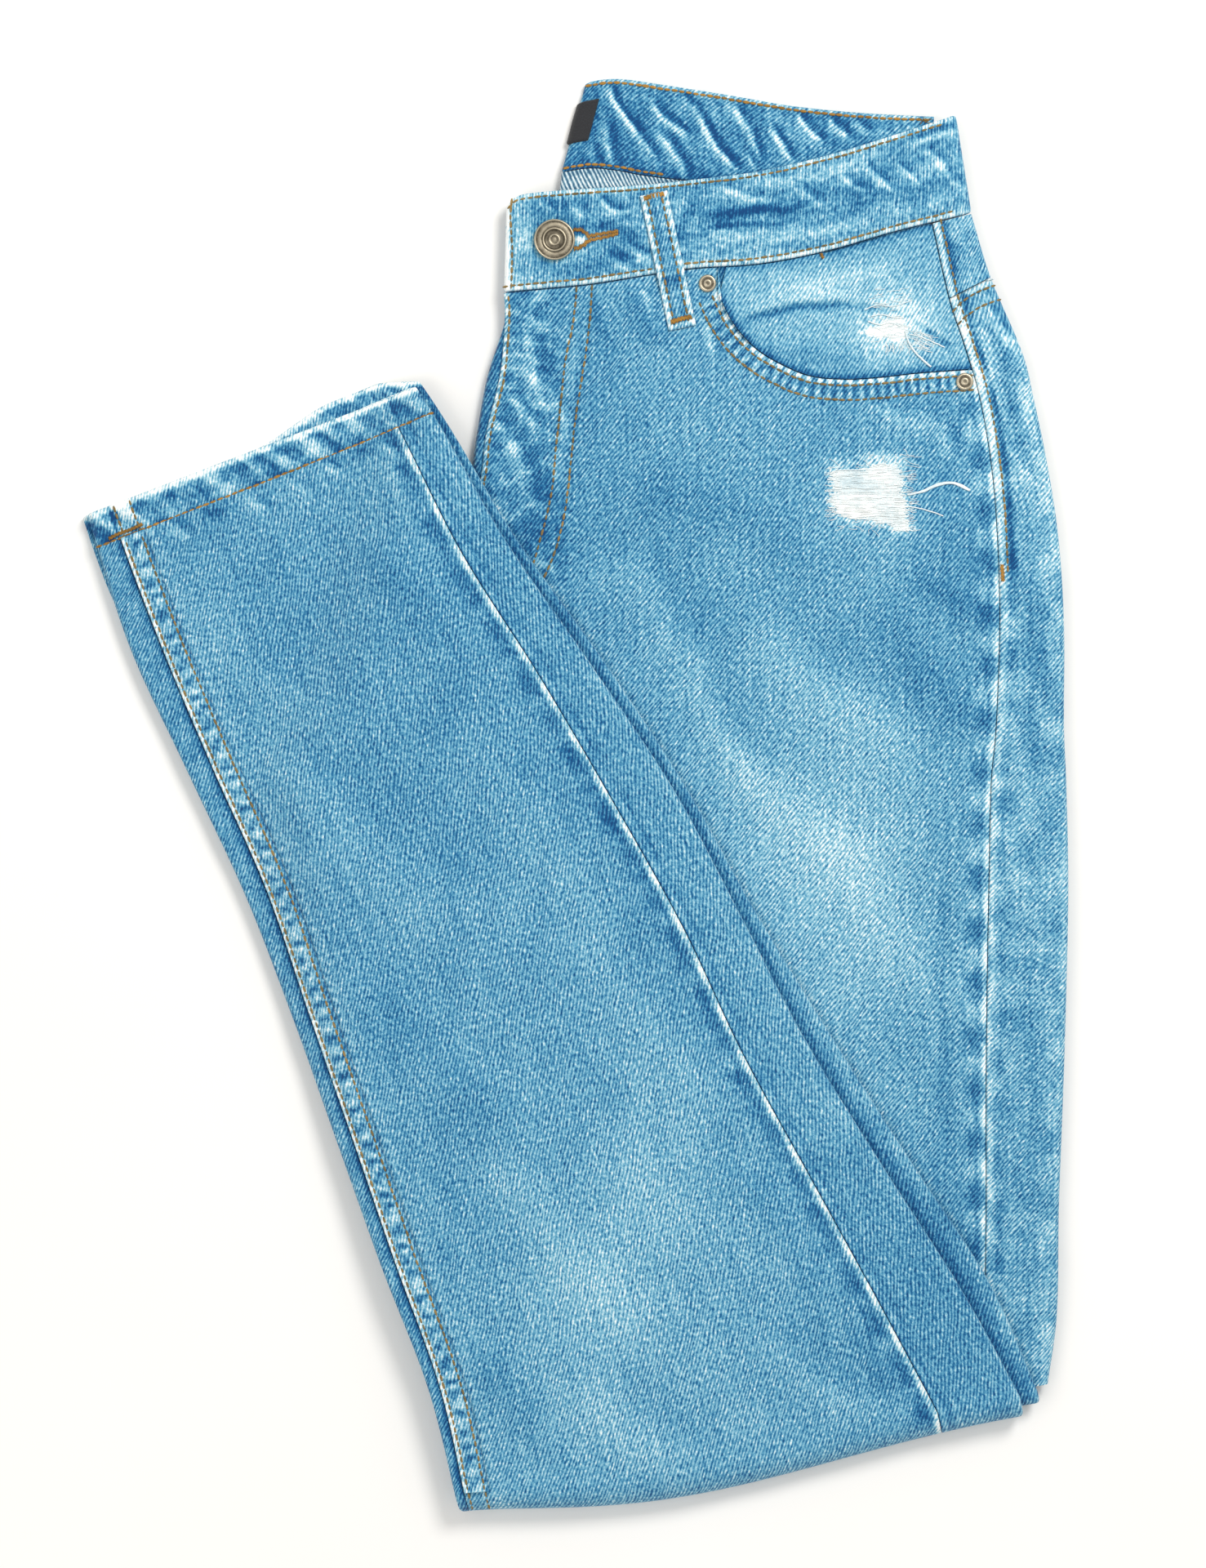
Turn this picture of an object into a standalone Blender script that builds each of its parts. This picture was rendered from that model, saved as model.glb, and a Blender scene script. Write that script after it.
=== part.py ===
# Boyfriend jeans, buttoned, folded in half on centre front and centre back, and folded up
# at the knee, lying on a table. The left half is on top and both lower legs lie across it.
# Lengths are millimetres until a mesh is made. The origin is the middle of the footprint
# on the table, with +X to the right, +Y towards the waist and +Z up.

import math

import bmesh
import bpy
import numpy as np

MM = 0.001
CENTRE_X = -0.08         # middle of the footprint in the tables' own axes
CENTRE_Y = 1.32

# Cloth and the gaps between pieces
CLOTH = 1.4              # one panel of denim
FACING_CLOTH = 1.0       # pocket facing
BAND_CLOTH = 2.2         # waistband, two panels
BACK_BAND_CLOTH = 1.5
HEM_CLOTH = 1.7          # turned hem
LABEL_CLOTH = 1.0
SEAM_GAP = 0.3
LEG_GAP = 0.5            # between the two folded legs

# Heights of the body, from the table up
LOWER_LAYERS_TOP = 3.45  # right half of the jeans
HIDDEN_TOP = 6.9         # all hidden layers
PANEL_UNDER = 7.2        # underside of what lies on them
PANEL_TOP = PANEL_UNDER + CLOTH
BAND_TOP = 9.6
LIP_LOW = 3.8            # lowest point of the back panel where it wraps the right fold
BAND_LIP_LOW = 4.0
LIP_REACH = 8.0          # how far a wrapped edge runs back below

# Section of the hidden layers: two rounded edges, one above the other, at each side
ROUND = 1.6              # in from the edge where the rounding starts
NEAR = 0.35
NOTCH = 2.4              # depth of the groove between the two layers
LOW_MIDDLE = 1.75        # height where the lower layer reaches furthest
HIGH_MIDDLE = 5.2
SLOT_TOP = 5.55          # the slot takes the back panel's lip
UPPER_IN = 2.7           # how much further in the upper layer ends at the fold
FOLD_INSET = 1.5         # from the fold's outside in to the hidden layers

# Folded legs
LEG_LENGTH = 460.0       # hem to knee fold
LEG_BASE = 9.0           # height of what the legs rest on over the body
LEFT_LEG_HEIGHT = 3.6
RIGHT_LEG_HEIGHT = 3.8
HEM_DEPTH = 12.6
HEM_REACH = 0.12         # share of the leg in which its rows turn from the hem's slant
HEM_SLANT = 0.35         # how much deeper the hem is at the inseam than at the outseam
KNEE_BOW = 9.5           # how far the knee fold bows down from a straight line
KNEE_REACH = 9.5         # from the knee fold's edge to where the leg lies flat
LEAN_START = 17.0        # the legs come down to the table this far outside the body
LEAN_LENGTH = 38.0
FELL_WIDTH = 10.5        # flat-felled inseam
FELL_CLOTH = 1.0

# Fastenings
BUTTON_X, BUTTON_Y, BUTTON_RADIUS, BUTTON_HEIGHT = -8.5, 232.2, 8.6, 2.9
RIVET_RADIUS, RIVET_HEIGHT = 3.65, 1.2
RIVET_PLACES = {"pocket_rivet_upper": (55.3, 214.2), "pocket_rivet_side": (162.6, 173.2)}
BELT_LOOP_WIDTH, BELT_LOOP_CLOTH = 11.6, 1.3
BELT_LOOP_TOP = (32.8, 251.7)
BELT_LOOP_END = (44.9, 195.5)

# Body, a row for each section from the waistband down to the knee fold
BODY_COLUMNS = ("left_x", "left_y", "seam_x", "seam_y", "fold_x", "fold_y", "under_out")
BODY_SECTIONS = (
    (-29.6, 210.3, 149.3, 239.2, 165.6, 243.3, -1.0),
    (-29.3, 198.0, 156.4, 208.1, 173.7, 216.9, 0.5),
    (-31.3, 176.0, 162.5, 189.4, 186.7, 186.0, 5.5),
    (-37.0, 152.0, 169.0, 167.0, 191.5, 167.0, 4.2),
    (-39.5, 133.0, 174.0, 138.0, 197.5, 138.0, 4.5),
    (-47.0, 108.0, 176.5, 108.0, 202.0, 108.0, 3.0),
    (-57.0, 72.0, 177.4, 72.0, 204.3, 72.0, 2.0),
    (-74.0, 30.0, 176.0, 30.0, 204.3, 30.0, 1.0),
    (-90.0, 4.0, 173.8, 4.0, 205.3, 4.0, 1.0),
    (-80.0, -42.0, 172.8, -42.0, 206.1, -42.0, 1.0),
    (-68.0, -110.0, 171.8, -108.0, 204.5, -108.0, 1.0),
    (-58.0, -178.0, 171.7, -172.0, 202.2, -170.0, 1.0),
    (-50.5, -246.0, 171.0, -218.0, 201.4, -215.0, 0.5),
    (-48.0, -287.0, 170.5, -250.0, 197.5, -245.0, 0.5),
)
HIDDEN_TOP_ROW = (-28.5, 240.0, 166.8, 239.0)

# Folded legs, a row for each station from the hem (0) to the knee fold (1). The last three
# columns are measured along the station: in from the left edge, in from the right fold of
# the upper leg, and how far the lower leg shows past that fold.
LEG_COLUMNS = ("station", "left_x", "left_y", "fold_x", "fold_y",
               "inseam_in", "outseam_in", "lower_out")
LEG_STATIONS = (
    (0.000, -203.7, 118.0, -66.3, 171.0, 9.5, 14.4, 2.4),
    (0.125, -186.0, 62.6, -29.6, 108.1, 12.4, 18.7, 4.4),
    (0.250, -162.2, 11.2, 6.1, 56.1, 10.3, 21.5, 5.6),
    (0.375, -138.0, -40.5, 40.8, 3.7, 9.0, 25.2, 5.3),
    (0.500, -118.0, -91.8, 68.7, -48.6, 7.0, 24.2, 6.5),
    (0.625, -99.3, -143.5, 95.9, -101.0, 6.6, 26.5, 10.8),
    (0.750, -80.6, -195.2, 127.8, -153.0, 6.0, 29.8, 11.8),
    (0.875, -60.9, -246.5, 161.2, -205.4, 4.8, 34.2, 12.2),
    (1.000, -47.9, -298.2, 189.7, -257.7, 3.6, 34.6, 7.0),
)

# Waistband: lower and upper edge from the button end to the side fold
BAND_COLUMNS = ("low_x", "low_y", "high_x", "high_y")
FRONT_BAND = (
    (-29.6, 210.8, -28.6, 246.0),
    (-25.0, 211.2, -24.6, 250.4),
    (-14.3, 212.2, -16.0, 252.2),
    (6.8, 214.2, 4.0, 253.8),
    (28.2, 217.6, 26.0, 255.2),
    (49.3, 220.7, 48.0, 257.4),
    (77.5, 222.7, 76.0, 261.0),
    (105.7, 228.1, 104.0, 267.4),
    (133.6, 236.0, 131.0, 275.5),
    (165.6, 243.8, 159.1, 284.6),
)
BACK_BAND = (
    (-5.6, 261.2, 4.5, 298.8),
    (6.0, 262.9, 12.0, 300.2),
    (17.0, 262.0, 21.1, 300.2),
    (30.0, 259.6, 35.0, 298.2),
    (59.0, 256.0, 63.2, 293.8),
    (88.0, 251.5, 91.5, 289.0),
    (117.0, 248.5, 119.7, 285.9),
    (148.0, 246.8, 150.0, 284.2),
)
BACK_BAND_HEIGHT = 3.6   # both layers, folded at centre back
BACK_BAND_LIFT = 3.1     # how high it lies below the front band
BACK_BAND_LEAN = 30.0    # distance in which it comes down to the table
YOKE_INSIDE_LOW = 243.9

# Pocket mouth, from the waistband down and across to the outseam
POCKET_MOUTH = (         # x, y
    (60.2, 220.9), (59.8, 209.1), (65.3, 198.2), (76.2, 186.3), (87.0, 179.9),
    (96.9, 175.8), (111.9, 174.1), (126.8, 174.8), (141.8, 176.5), (164.6, 178.2),
)
BELOW_BAND_SHARES = (0.0, 0.2, 0.31, 0.39, 0.47, 0.54, 0.598)
FACING_START = 0.612           # share of the band's lower edge where the facing starts
MOUTH_END = 0.193              # share of the body's length where it meets the outseam
LABEL_STRETCH = (0.22, 0.68)   # share of the band's depth that the label covers
LABEL_REACH = 8.0              # how far it runs on from the fold
LABEL_TURN = 200               # degrees where it starts, just below the fold's widest point

COLOURS = {
    "denim_wash": ((0.16, 0.36, 0.58), 0.9, 0.0),
    "denim_fade": ((0.27, 0.50, 0.70), 0.9, 0.0),
    "denim_deep": ((0.09, 0.26, 0.47), 0.9, 0.0),
    "denim_inside": ((0.46, 0.62, 0.74), 0.92, 0.0),
    "denim_facing": ((0.40, 0.60, 0.76), 0.9, 0.0),
    "antique_metal": ((0.36, 0.33, 0.28), 0.42, 1.0),
    "label_black": ((0.02, 0.02, 0.022), 0.8, 0.0),
}


def table(columns, rows):
    return dict(zip(columns, np.array(rows, dtype=float).T))


BODY = table(BODY_COLUMNS, BODY_SECTIONS)
LEG = table(LEG_COLUMNS, LEG_STATIONS)
FRONT = table(BAND_COLUMNS, FRONT_BAND)
BACK = table(BAND_COLUMNS, BACK_BAND)


def smooth(keys, values, at):
    # Cubic curve through a table's values, each point's slope taken from its neighbours
    slopes = np.gradient(values, keys)
    at = np.clip(at, keys[0], keys[-1])
    i = np.clip(np.searchsorted(keys, at) - 1, 0, len(keys) - 2)
    span = keys[i + 1] - keys[i]
    f = (at - keys[i]) / span
    start = (1 + 2 * f) * (1 - f) ** 2 * values[i] + f * (1 - f) ** 2 * span * slopes[i]
    end = f * f * (3 - 2 * f) * values[i + 1] + f * f * (f - 1) * span * slopes[i + 1]
    return start + end


def along_table(columns, names, shares):
    # Points at even shares (0 to 1) of a table's rows
    keys = np.arange(len(columns[names[0]]), dtype=float)
    at = np.asarray(shares, dtype=float) * keys[-1]
    return np.stack([smooth(keys, columns[name], at) for name in names], axis=-1)


def along_line(points, shares):
    # Points at shares (0 to 1) of a broken line's length
    points = np.asarray(points, dtype=float)
    steps = np.linalg.norm(np.diff(points, axis=0), axis=1)
    length = np.concatenate(([0.0], np.cumsum(steps)))
    at = np.asarray(shares) * length[-1]
    return np.stack([np.interp(at, length, points[:, k]) for k in (0, 1)], axis=-1)


def soft_step(share):
    share = np.clip(share, 0.0, 1.0)
    return share * share * (3 - 2 * share)


def material(name):
    made = bpy.data.materials.get(name)
    if made:
        return made
    colour, roughness, metallic = COLOURS[name]
    made = bpy.data.materials.new(name)
    made.use_nodes = True
    shader = made.node_tree.nodes["Principled BSDF"]
    shader.inputs["Base Color"].default_value = (*colour, 1.0)
    shader.inputs["Roughness"].default_value = roughness
    shader.inputs["Metallic"].default_value = metallic
    made.diffuse_color = (*colour, 1.0)
    return made


def add_object(name, points, faces, finish):
    # One closed solid from points in millimetres
    shape = bmesh.new()
    shift = np.array((CENTRE_X, CENTRE_Y, 0.0))
    corners = [shape.verts.new((point - shift) * MM) for point in points]
    for face in faces:
        shape.faces.new([corners[k] for k in face])
    bmesh.ops.recalc_face_normals(shape, faces=shape.faces)
    mesh = bpy.data.meshes.new(name)
    shape.to_mesh(mesh)
    shape.free()
    mesh.shade_smooth()
    mesh.set_sharp_from_angle(angle=math.radians(35))
    mesh.materials.append(material(finish))
    made = bpy.data.objects.new(name, mesh)
    bpy.context.scene.collection.objects.link(made)
    return made


def outward(grid, ring):
    # Unit normals of a grid whose rows run down and whose columns run clockwise
    down = np.gradient(grid, axis=0)
    if ring:
        across = np.roll(grid, -1, axis=1) - np.roll(grid, 1, axis=1)
    else:
        across = np.gradient(grid, axis=1)
    normal = np.cross(down, across)
    return normal / np.linalg.norm(normal, axis=2, keepdims=True)


def add_wall(name, grid, thickness, finish, ring=False):
    # Wall of cloth: an outer grid, the same grid moved in by the thickness, and its rims.
    # Every quad is split from its left end above to its right end below, on both sides of
    # a gap alike, so that stacked walls stay parallel.
    inner = grid - outward(grid, ring) * thickness
    rows, columns = grid.shape[:2]
    points = np.concatenate((grid.reshape(-1, 3), inner.reshape(-1, 3)))
    inside = rows * columns
    faces = []
    for i in range(rows - 1):
        for j in range(columns if ring else columns - 1):
            k = (j + 1) % columns
            a, b = i * columns + j, i * columns + k
            c, d = (i + 1) * columns + k, (i + 1) * columns + j
            halves = ((a, b, c), (a, c, d))
            if grid[i, k, 0] < grid[i, j, 0]:
                halves = ((a, b, d), (b, c, d))
            for half in halves:
                faces.append(half)
                faces.append(tuple(inside + corner for corner in reversed(half)))
    for i in (0, rows - 1):
        for j in range(columns if ring else columns - 1):
            a, b = i * columns + j, i * columns + (j + 1) % columns
            faces.append((b, a, inside + a, inside + b))
    if not ring:
        for j in (0, columns - 1):
            for i in range(rows - 1):
                a, b = i * columns + j, (i + 1) * columns + j
                faces.append((a, b, inside + b, inside + a))
    return add_object(name, points, faces, finish)


def add_turned(name, centre, base, profile, sides, finish):
    # Turned solid; the profile is (radius, height) from the bottom middle to the top middle
    points = []
    for radius, height in profile[1:-1]:
        for k in range(sides):
            angle = 2 * math.pi * k / sides
            x = centre[0] + radius * math.cos(angle)
            y = centre[1] + radius * math.sin(angle)
            points.append((x, y, base + height))
    bottom = len(points)
    points.append((*centre, base + profile[0][1]))
    points.append((*centre, base + profile[-1][1]))
    faces = []
    rings = len(profile) - 2
    for k in range(sides):
        n = (k + 1) % sides
        faces.append((bottom, n, k))
        top = (rings - 1) * sides
        faces.append((bottom + 1, top + k, top + n))
        for ring in range(rings - 1):
            low, high = ring * sides, (ring + 1) * sides
            faces.append((low + k, low + n, high + n, high + k))
    return add_object(name, np.array(points), faces, finish)


def edge_round(centre, radius, start, end, count):
    # (across, up) points on an arc, clockwise from start to end in degrees
    angles = np.radians(np.linspace(start, end, count))
    return [(centre[0] + radius * math.cos(a), centre[1] + radius * math.sin(a)) for a in angles]


def section_frame(section):
    # Left end, direction and width of a body section
    left = np.array((section["left_x"], section["left_y"]))
    fold = np.array((section["fold_x"], section["fold_y"]))
    width = np.linalg.norm(fold - left)
    return left, (fold - left) / width, width


def body_sections():
    rows = np.array(BODY_SECTIONS, dtype=float)
    return [dict(zip(BODY_COLUMNS, row)) for row in rows]


def hidden_layers():
    # Cross-section with two rounded layers at each edge and a slot for the back panel's lip
    sections = body_sections()[1:]
    top = dict(sections[0])
    top["left_x"], top["left_y"], top["fold_x"], top["fold_y"] = HIDDEN_TOP_ROW
    top["under_out"] = -1.0
    points = []
    for section in [top] + sections:
        left, direction, width = section_frame(section)
        start = -section["under_out"]
        end = width - FOLD_INSET
        slot = end - LIP_REACH - 1.0
        low_right = ((end - ROUND, 0.0), (end - NEAR, 0.7), (end, LOW_MIDDLE), (end - NEAR, 2.9),
                     (end - ROUND, LOWER_LAYERS_TOP), (slot, LOWER_LAYERS_TOP))
        high_right = ((slot, SLOT_TOP), (end - UPPER_IN - NEAR, SLOT_TOP), (end - UPPER_IN, 6.2),
                      (end - UPPER_IN - NEAR, HIDDEN_TOP))
        high_left = ((start + ROUND, HIDDEN_TOP), (start + NEAR, 6.2), (start, HIGH_MIDDLE),
                     (start + NEAR, 4.2), (start + NOTCH, 3.5))
        low_left = ((start + NEAR, 2.8), (start, LOW_MIDDLE), (start + NEAR, 0.7),
                    (start + ROUND, 0.0))
        outline = low_right + high_right + high_left + low_left
        for across, up in outline:
            place = left + direction * across
            points.append((place[0], place[1], up))
    count = len(outline)
    rows = len(sections) + 1
    faces = [tuple(range(count)), tuple(range((rows - 1) * count, rows * count))]
    for i in range(rows - 1):
        for j in range(count):
            k = (j + 1) % count
            faces.append((i * count + j, i * count + k, (i + 1) * count + k, (i + 1) * count + j))
    add_object("hidden_body_layers", np.array(points), faces, "denim_deep")


def patch(top, bottom, left, right):
    # Points of a four-sided panel between its top, bottom, left and right edges
    u = np.linspace(0, 1, len(top))[None, :, None]
    v = np.linspace(0, 1, len(left))[:, None, None]
    level = top[None] * (1 - v) + bottom[None] * v
    left_push = left[:, None] - (top[0] * (1 - v) + bottom[0] * v)
    right_push = right[:, None] - (top[-1] * (1 - v) + bottom[-1] * v)
    return level + left_push * (1 - u) + right_push * u


def raise_flat(plan, height):
    return np.concatenate((plan, np.full(plan.shape[:2] + (1,), height)), axis=2)


def mouth_line(push):
    # Pocket mouth from its upper corner to the outseam, pushed into the pocket by a distance
    line = along_line(POCKET_MOUTH[1:], np.linspace(0, 1, 12))
    run = np.gradient(line, axis=0)
    run /= np.linalg.norm(run, axis=1, keepdims=True)
    return line + np.stack((-run[:, 1], run[:, 0]), axis=1) * push


def left_front():
    rows = 16
    edge_share = np.linspace(0, 1, rows)
    below_band = along_table(FRONT, ("low_x", "low_y"), BELOW_BAND_SHARES)
    below_band[:, 1] -= SEAM_GAP + 0.2
    top = np.concatenate((below_band, mouth_line(0.0)))
    left = along_table(BODY, ("left_x", "left_y"), edge_share)
    right = along_table(BODY, ("seam_x", "seam_y"), MOUTH_END + edge_share * (1 - MOUTH_END))
    right[:, 0] -= SEAM_GAP
    right[0] = top[-1]
    left[0] = top[0]
    level = np.linspace(0, 1, len(top))[:, None]
    bottom = left[-1] + level * (right[-1] - left[-1])
    plan = patch(top, bottom, left, right)
    add_wall("left_front", raise_flat(plan, PANEL_TOP), CLOTH, "denim_fade")


def pocket_facing():
    rows = 6
    bottom = mouth_line(SEAM_GAP + 0.15)
    top = along_table(FRONT, ("low_x", "low_y"), np.linspace(FACING_START, 0.94, len(bottom)))
    top[:, 1] -= SEAM_GAP + 0.3
    top[-1] = (148.6, 238.6)
    left = top[0] + np.linspace(0, 1, rows)[:, None] * (bottom[0] - top[0])
    right = along_table(BODY, ("seam_x", "seam_y"), np.linspace(0, MOUTH_END - 0.003, rows))
    right[:, 0] -= SEAM_GAP + 0.2
    right[0] = top[-1]
    bottom[-1] = right[-1]
    plan = patch(top, bottom, left, right)
    add_wall("pocket_facing", raise_flat(plan, PANEL_UNDER + FACING_CLOTH),
             FACING_CLOTH, "denim_facing")


def side_strip(name, first, last, rows, finish, drop=0.0):
    # Back panel from the outseam to the right fold, round it and a little way back below
    radius = (PANEL_TOP - LIP_LOW) / 2
    middle = (PANEL_TOP + LIP_LOW) / 2
    shares = np.linspace(first, last, rows)
    seam = along_table(BODY, ("seam_x", "seam_y"), shares)
    fold = along_table(BODY, ("fold_x", "fold_y"), shares)
    seam[0, 1] -= drop
    fold[0, 1] -= drop
    grid = []
    for start, end in zip(seam, fold):
        width = np.linalg.norm(end - start)
        direction = (end - start) / width
        path = [(0.0, PANEL_TOP), (0.5 * (width - radius), PANEL_TOP)]
        path += edge_round((width - radius, middle), radius, 90, -90, 7)
        path.append((width - LIP_REACH, LIP_LOW))
        grid.append([(*(start + direction * across), up) for across, up in path])
    add_wall(name, np.array(grid), CLOTH, finish)


def front_waistband():
    # Runs from the button end to the side fold and round it
    columns = 16
    radius = (BAND_TOP - BAND_LIP_LOW) / 2
    middle = (BAND_TOP + BAND_LIP_LOW) / 2
    shares = np.linspace(0, 1, columns)
    low = along_table(FRONT, ("low_x", "low_y"), shares)
    high = along_table(FRONT, ("high_x", "high_y"), shares)
    grid = []
    for depth in np.linspace(0, 1, 5):
        edge = high * (1 - depth) + low * depth
        row = [(*place, BAND_TOP) for place in edge[:-1]]
        direction = edge[-1] - edge[-2]
        direction /= np.linalg.norm(direction)
        for across, up in edge_round((-radius, middle), radius, 90, -90, 7):
            row.append((*(edge[-1] + direction * across), up))
        row.append((*(edge[-1] - direction * LIP_REACH), BAND_LIP_LOW))
        grid.append(row)
    add_wall("front_waistband", np.array(grid), BAND_CLOTH, "denim_wash")


def band_lift(place):
    # The back band comes down to the table above the front band's upper edge
    edge = np.interp(place[0], FRONT["high_x"], FRONT["high_y"])
    return BACK_BAND_LIFT * (1 - soft_step((place[1] - edge) / BACK_BAND_LEAN))


def fold_turn(edge, radius, start):
    # Round the fold at centre back, from an angle below it to the top layer
    middle = BACK_BAND_HEIGHT / 2
    direction = edge[1] - edge[0]
    direction /= np.linalg.norm(direction)
    turn = []
    for across, up in edge_round((middle, middle), radius, start, 90, 7):
        place = edge[0] + direction * across
        turn.append((*place, up + band_lift(place)))
    return turn


def folded_row(edge):
    # Both layers of the back, folded at centre back, as one path from the lower layer's end
    lower = [(*place, band_lift(place)) for place in edge[:0:-1]]
    upper = [(*place, BACK_BAND_HEIGHT + band_lift(place)) for place in edge[1:]]
    return lower + fold_turn(edge, BACK_BAND_HEIGHT / 2, 270) + upper


def back_edge(depth, columns=9):
    # Line across the back band: 0 at its upper edge and 1 at its lower edge
    shares = np.linspace(0, 1, columns)
    low = along_table(BACK, ("low_x", "low_y"), shares)
    high = along_table(BACK, ("high_x", "high_y"), shares)
    return high * (1 - depth) + low * depth


def back_waistband():
    grid = [folded_row(back_edge(depth)) for depth in np.linspace(0, 1, 6)]
    add_wall("back_waistband", np.array(grid), BACK_BAND_CLOTH, "denim_inside")


def yoke_inside():
    start = back_edge(1.0)
    start[:, 1] -= SEAM_GAP + 0.1
    end = start.copy()
    end[:, 0] -= 2.0
    end[:, 1] = YOKE_INSIDE_LOW
    rows = [start * (1 - share) + end * share for share in np.linspace(0, 1, 4)]
    add_wall("yoke_inside", np.array([folded_row(row) for row in rows]), CLOTH, "denim_inside")


def woven_label():
    # Lies on the band's inside and turns round the fold
    rise = SEAM_GAP + LABEL_CLOTH
    grid = []
    for depth in np.linspace(*LABEL_STRETCH, 4):
        edge = back_edge(depth)
        row = fold_turn(edge, BACK_BAND_HEIGHT / 2 + rise, LABEL_TURN)
        direction = (edge[1] - edge[0]) / np.linalg.norm(edge[1] - edge[0])
        place = edge[0] + direction * LABEL_REACH
        row.append((*place, BACK_BAND_HEIGHT + rise + band_lift(place)))
        grid.append(row)
    add_wall("woven_label", np.array(grid), LABEL_CLOTH, "label_black")


def belt_loop():
    # Lies on the waistband and steps down past its lower edge onto the front panel
    top, end = np.array(BELT_LOOP_TOP), np.array(BELT_LOOP_END)
    length = np.linalg.norm(end - top)
    down = (end - top) / length
    side = np.array((-down[1], down[0])) * BELT_LOOP_WIDTH / 2
    high = BAND_TOP + SEAM_GAP + BELT_LOOP_CLOTH
    low = PANEL_TOP + SEAM_GAP + BELT_LOOP_CLOTH
    past_band = 36.0
    profile = ((0, high), (12, high), (24, high), (past_band, high),
               (past_band + 5, low), (length - 6, low), (length, low))
    grid = []
    for distance, up in profile:
        middle = top + down * distance
        grid.append([(*(middle + side * across), up) for across in (-1, 0, 1)])
    add_wall("belt_loop", np.array(grid), BELT_LOOP_CLOTH, "denim_wash")


def waist_button():
    profile = ((0, 0), (BUTTON_RADIUS - 1.4, 0), (BUTTON_RADIUS - 0.3, 0.6),
               (BUTTON_RADIUS, 1.3), (BUTTON_RADIUS - 0.5, 2.1), (BUTTON_RADIUS - 1.5, 2.6),
               (5.2, 2.3), (4.7, BUTTON_HEIGHT), (4.1, BUTTON_HEIGHT), (3.6, 2.2), (0, 2.3))
    add_turned("waist_button", (BUTTON_X, BUTTON_Y), BAND_TOP + SEAM_GAP, profile, 28,
               "antique_metal")


def pocket_rivets():
    profile = ((0, 0), (RIVET_RADIUS - 0.2, 0), (RIVET_RADIUS, 0.4), (RIVET_RADIUS - 0.5, 0.9),
               (1.9, 0.8), (1.3, RIVET_HEIGHT), (0, RIVET_HEIGHT))
    for name, place in RIVET_PLACES.items():
        add_turned(name, place, PANEL_TOP + SEAM_GAP, profile, 20, "antique_metal")


def leg_value(name, station):
    return smooth(LEG["station"], LEG[name], station)


def leg_width(station):
    across = leg_value("fold_x", station) - leg_value("left_x", station)
    down = leg_value("fold_y", station) - leg_value("left_y", station)
    return math.hypot(across, down)


def leg_flat(station, across):
    # Plan position near the hem, where the leg's sides are straight
    left = np.array((leg_value("left_x", station), leg_value("left_y", station)))
    fold = np.array((leg_value("fold_x", station), leg_value("fold_y", station)))
    place = left + (fold - left) / np.linalg.norm(fold - left) * across
    return place[0], place[1]


def leg_place(station, across):
    # Plan position: station along the leg, and millimetres in from its left edge
    left = np.array((leg_value("left_x", station), leg_value("left_y", station)))
    fold = np.array((leg_value("fold_x", station), leg_value("fold_y", station)))
    width = np.linalg.norm(fold - left)
    share = min(max(across / width, 0.0), 1.0)
    if station < HEM_REACH:
        slant = HEM_SLANT * (0.45 - share) * (1 - soft_step(station / HEM_REACH))
        return leg_flat(station * (1 + slant), across)
    bow = KNEE_BOW * station ** 12 * math.sin(math.pi * share ** 0.75) ** 2
    place = left + (fold - left) / width * across
    return place[0], place[1] - bow


def rest_height(x, y):
    # What the legs lie on: the body's top, coming down to the table outside its left edge
    edge = np.interp(-y, -BODY["left_y"], BODY["left_x"] - BODY["under_out"])
    return LEG_BASE * (1 - soft_step((edge - x - LEAN_START) / LEAN_LENGTH))


def leg_marks(station):
    # Shared columns across both legs, so that stacked faces stay parallel
    inseam = leg_value("inseam_in", station)
    outseam = leg_width(station) - leg_value("outseam_in", station)
    between = np.linspace(inseam + SEAM_GAP + FELL_WIDTH, outseam - SEAM_GAP, 11)
    return [inseam + SEAM_GAP, *between]


def outer_marks(station):
    # Shared columns from the outseam to where the upper leg's right fold starts to turn
    start = leg_width(station) - leg_value("outseam_in", station)
    end = leg_width(station) - RIGHT_LEG_HEIGHT / 2
    return list(np.linspace(start, end, 4)[1:])


def leg_ring(marks, left, right, height):
    # Closed flattened ring as (across, up), clockwise from the top left
    radius = height / 2
    top = [(mark, height) for mark in marks]
    right_round = edge_round((right - radius, radius), radius, 90, -90, 6)
    bottom = [(mark, 0.0) for mark in reversed(marks)]
    left_round = edge_round((left + radius, radius), radius, 270, 90, 6)
    return top + right_round + bottom + left_round


def leg_point(station, turn, across, up, base, height, radius):
    # Before the fold the leg lies flat; at the fold its section turns round the knee
    middle = (LEG_BASE + LEFT_LEG_HEIGHT + LEG_GAP + RIGHT_LEG_HEIGHT) / 2
    if turn is None:
        x, y = leg_place(station, across)
        return x, y, rest_height(x, y) + base + up
    inset = height - up
    reach = KNEE_REACH - (radius - inset) * math.sin(turn)
    x, y = leg_place(1 - reach / LEG_LENGTH, across)
    rise = LEG_BASE + base + height - middle
    return x, y, middle + (rise - inset) * math.cos(turn)


def leg_rows(first):
    # Stations from the hem to the knee fold, then the turns round it
    last = 1 - KNEE_REACH / LEG_LENGTH
    rows = [(station, None) for station in np.linspace(first, last, 17)]
    return rows + [(last, turn) for turn in np.linspace(0, math.pi, 8)[1:]]


def leg_grid(rows, section, base, height, radius):
    grid = []
    for station, turn in rows:
        points = section(station)
        grid.append([leg_point(station, turn, across, up, base, height, radius)
                     for across, up in points])
    return np.array(grid)


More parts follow.
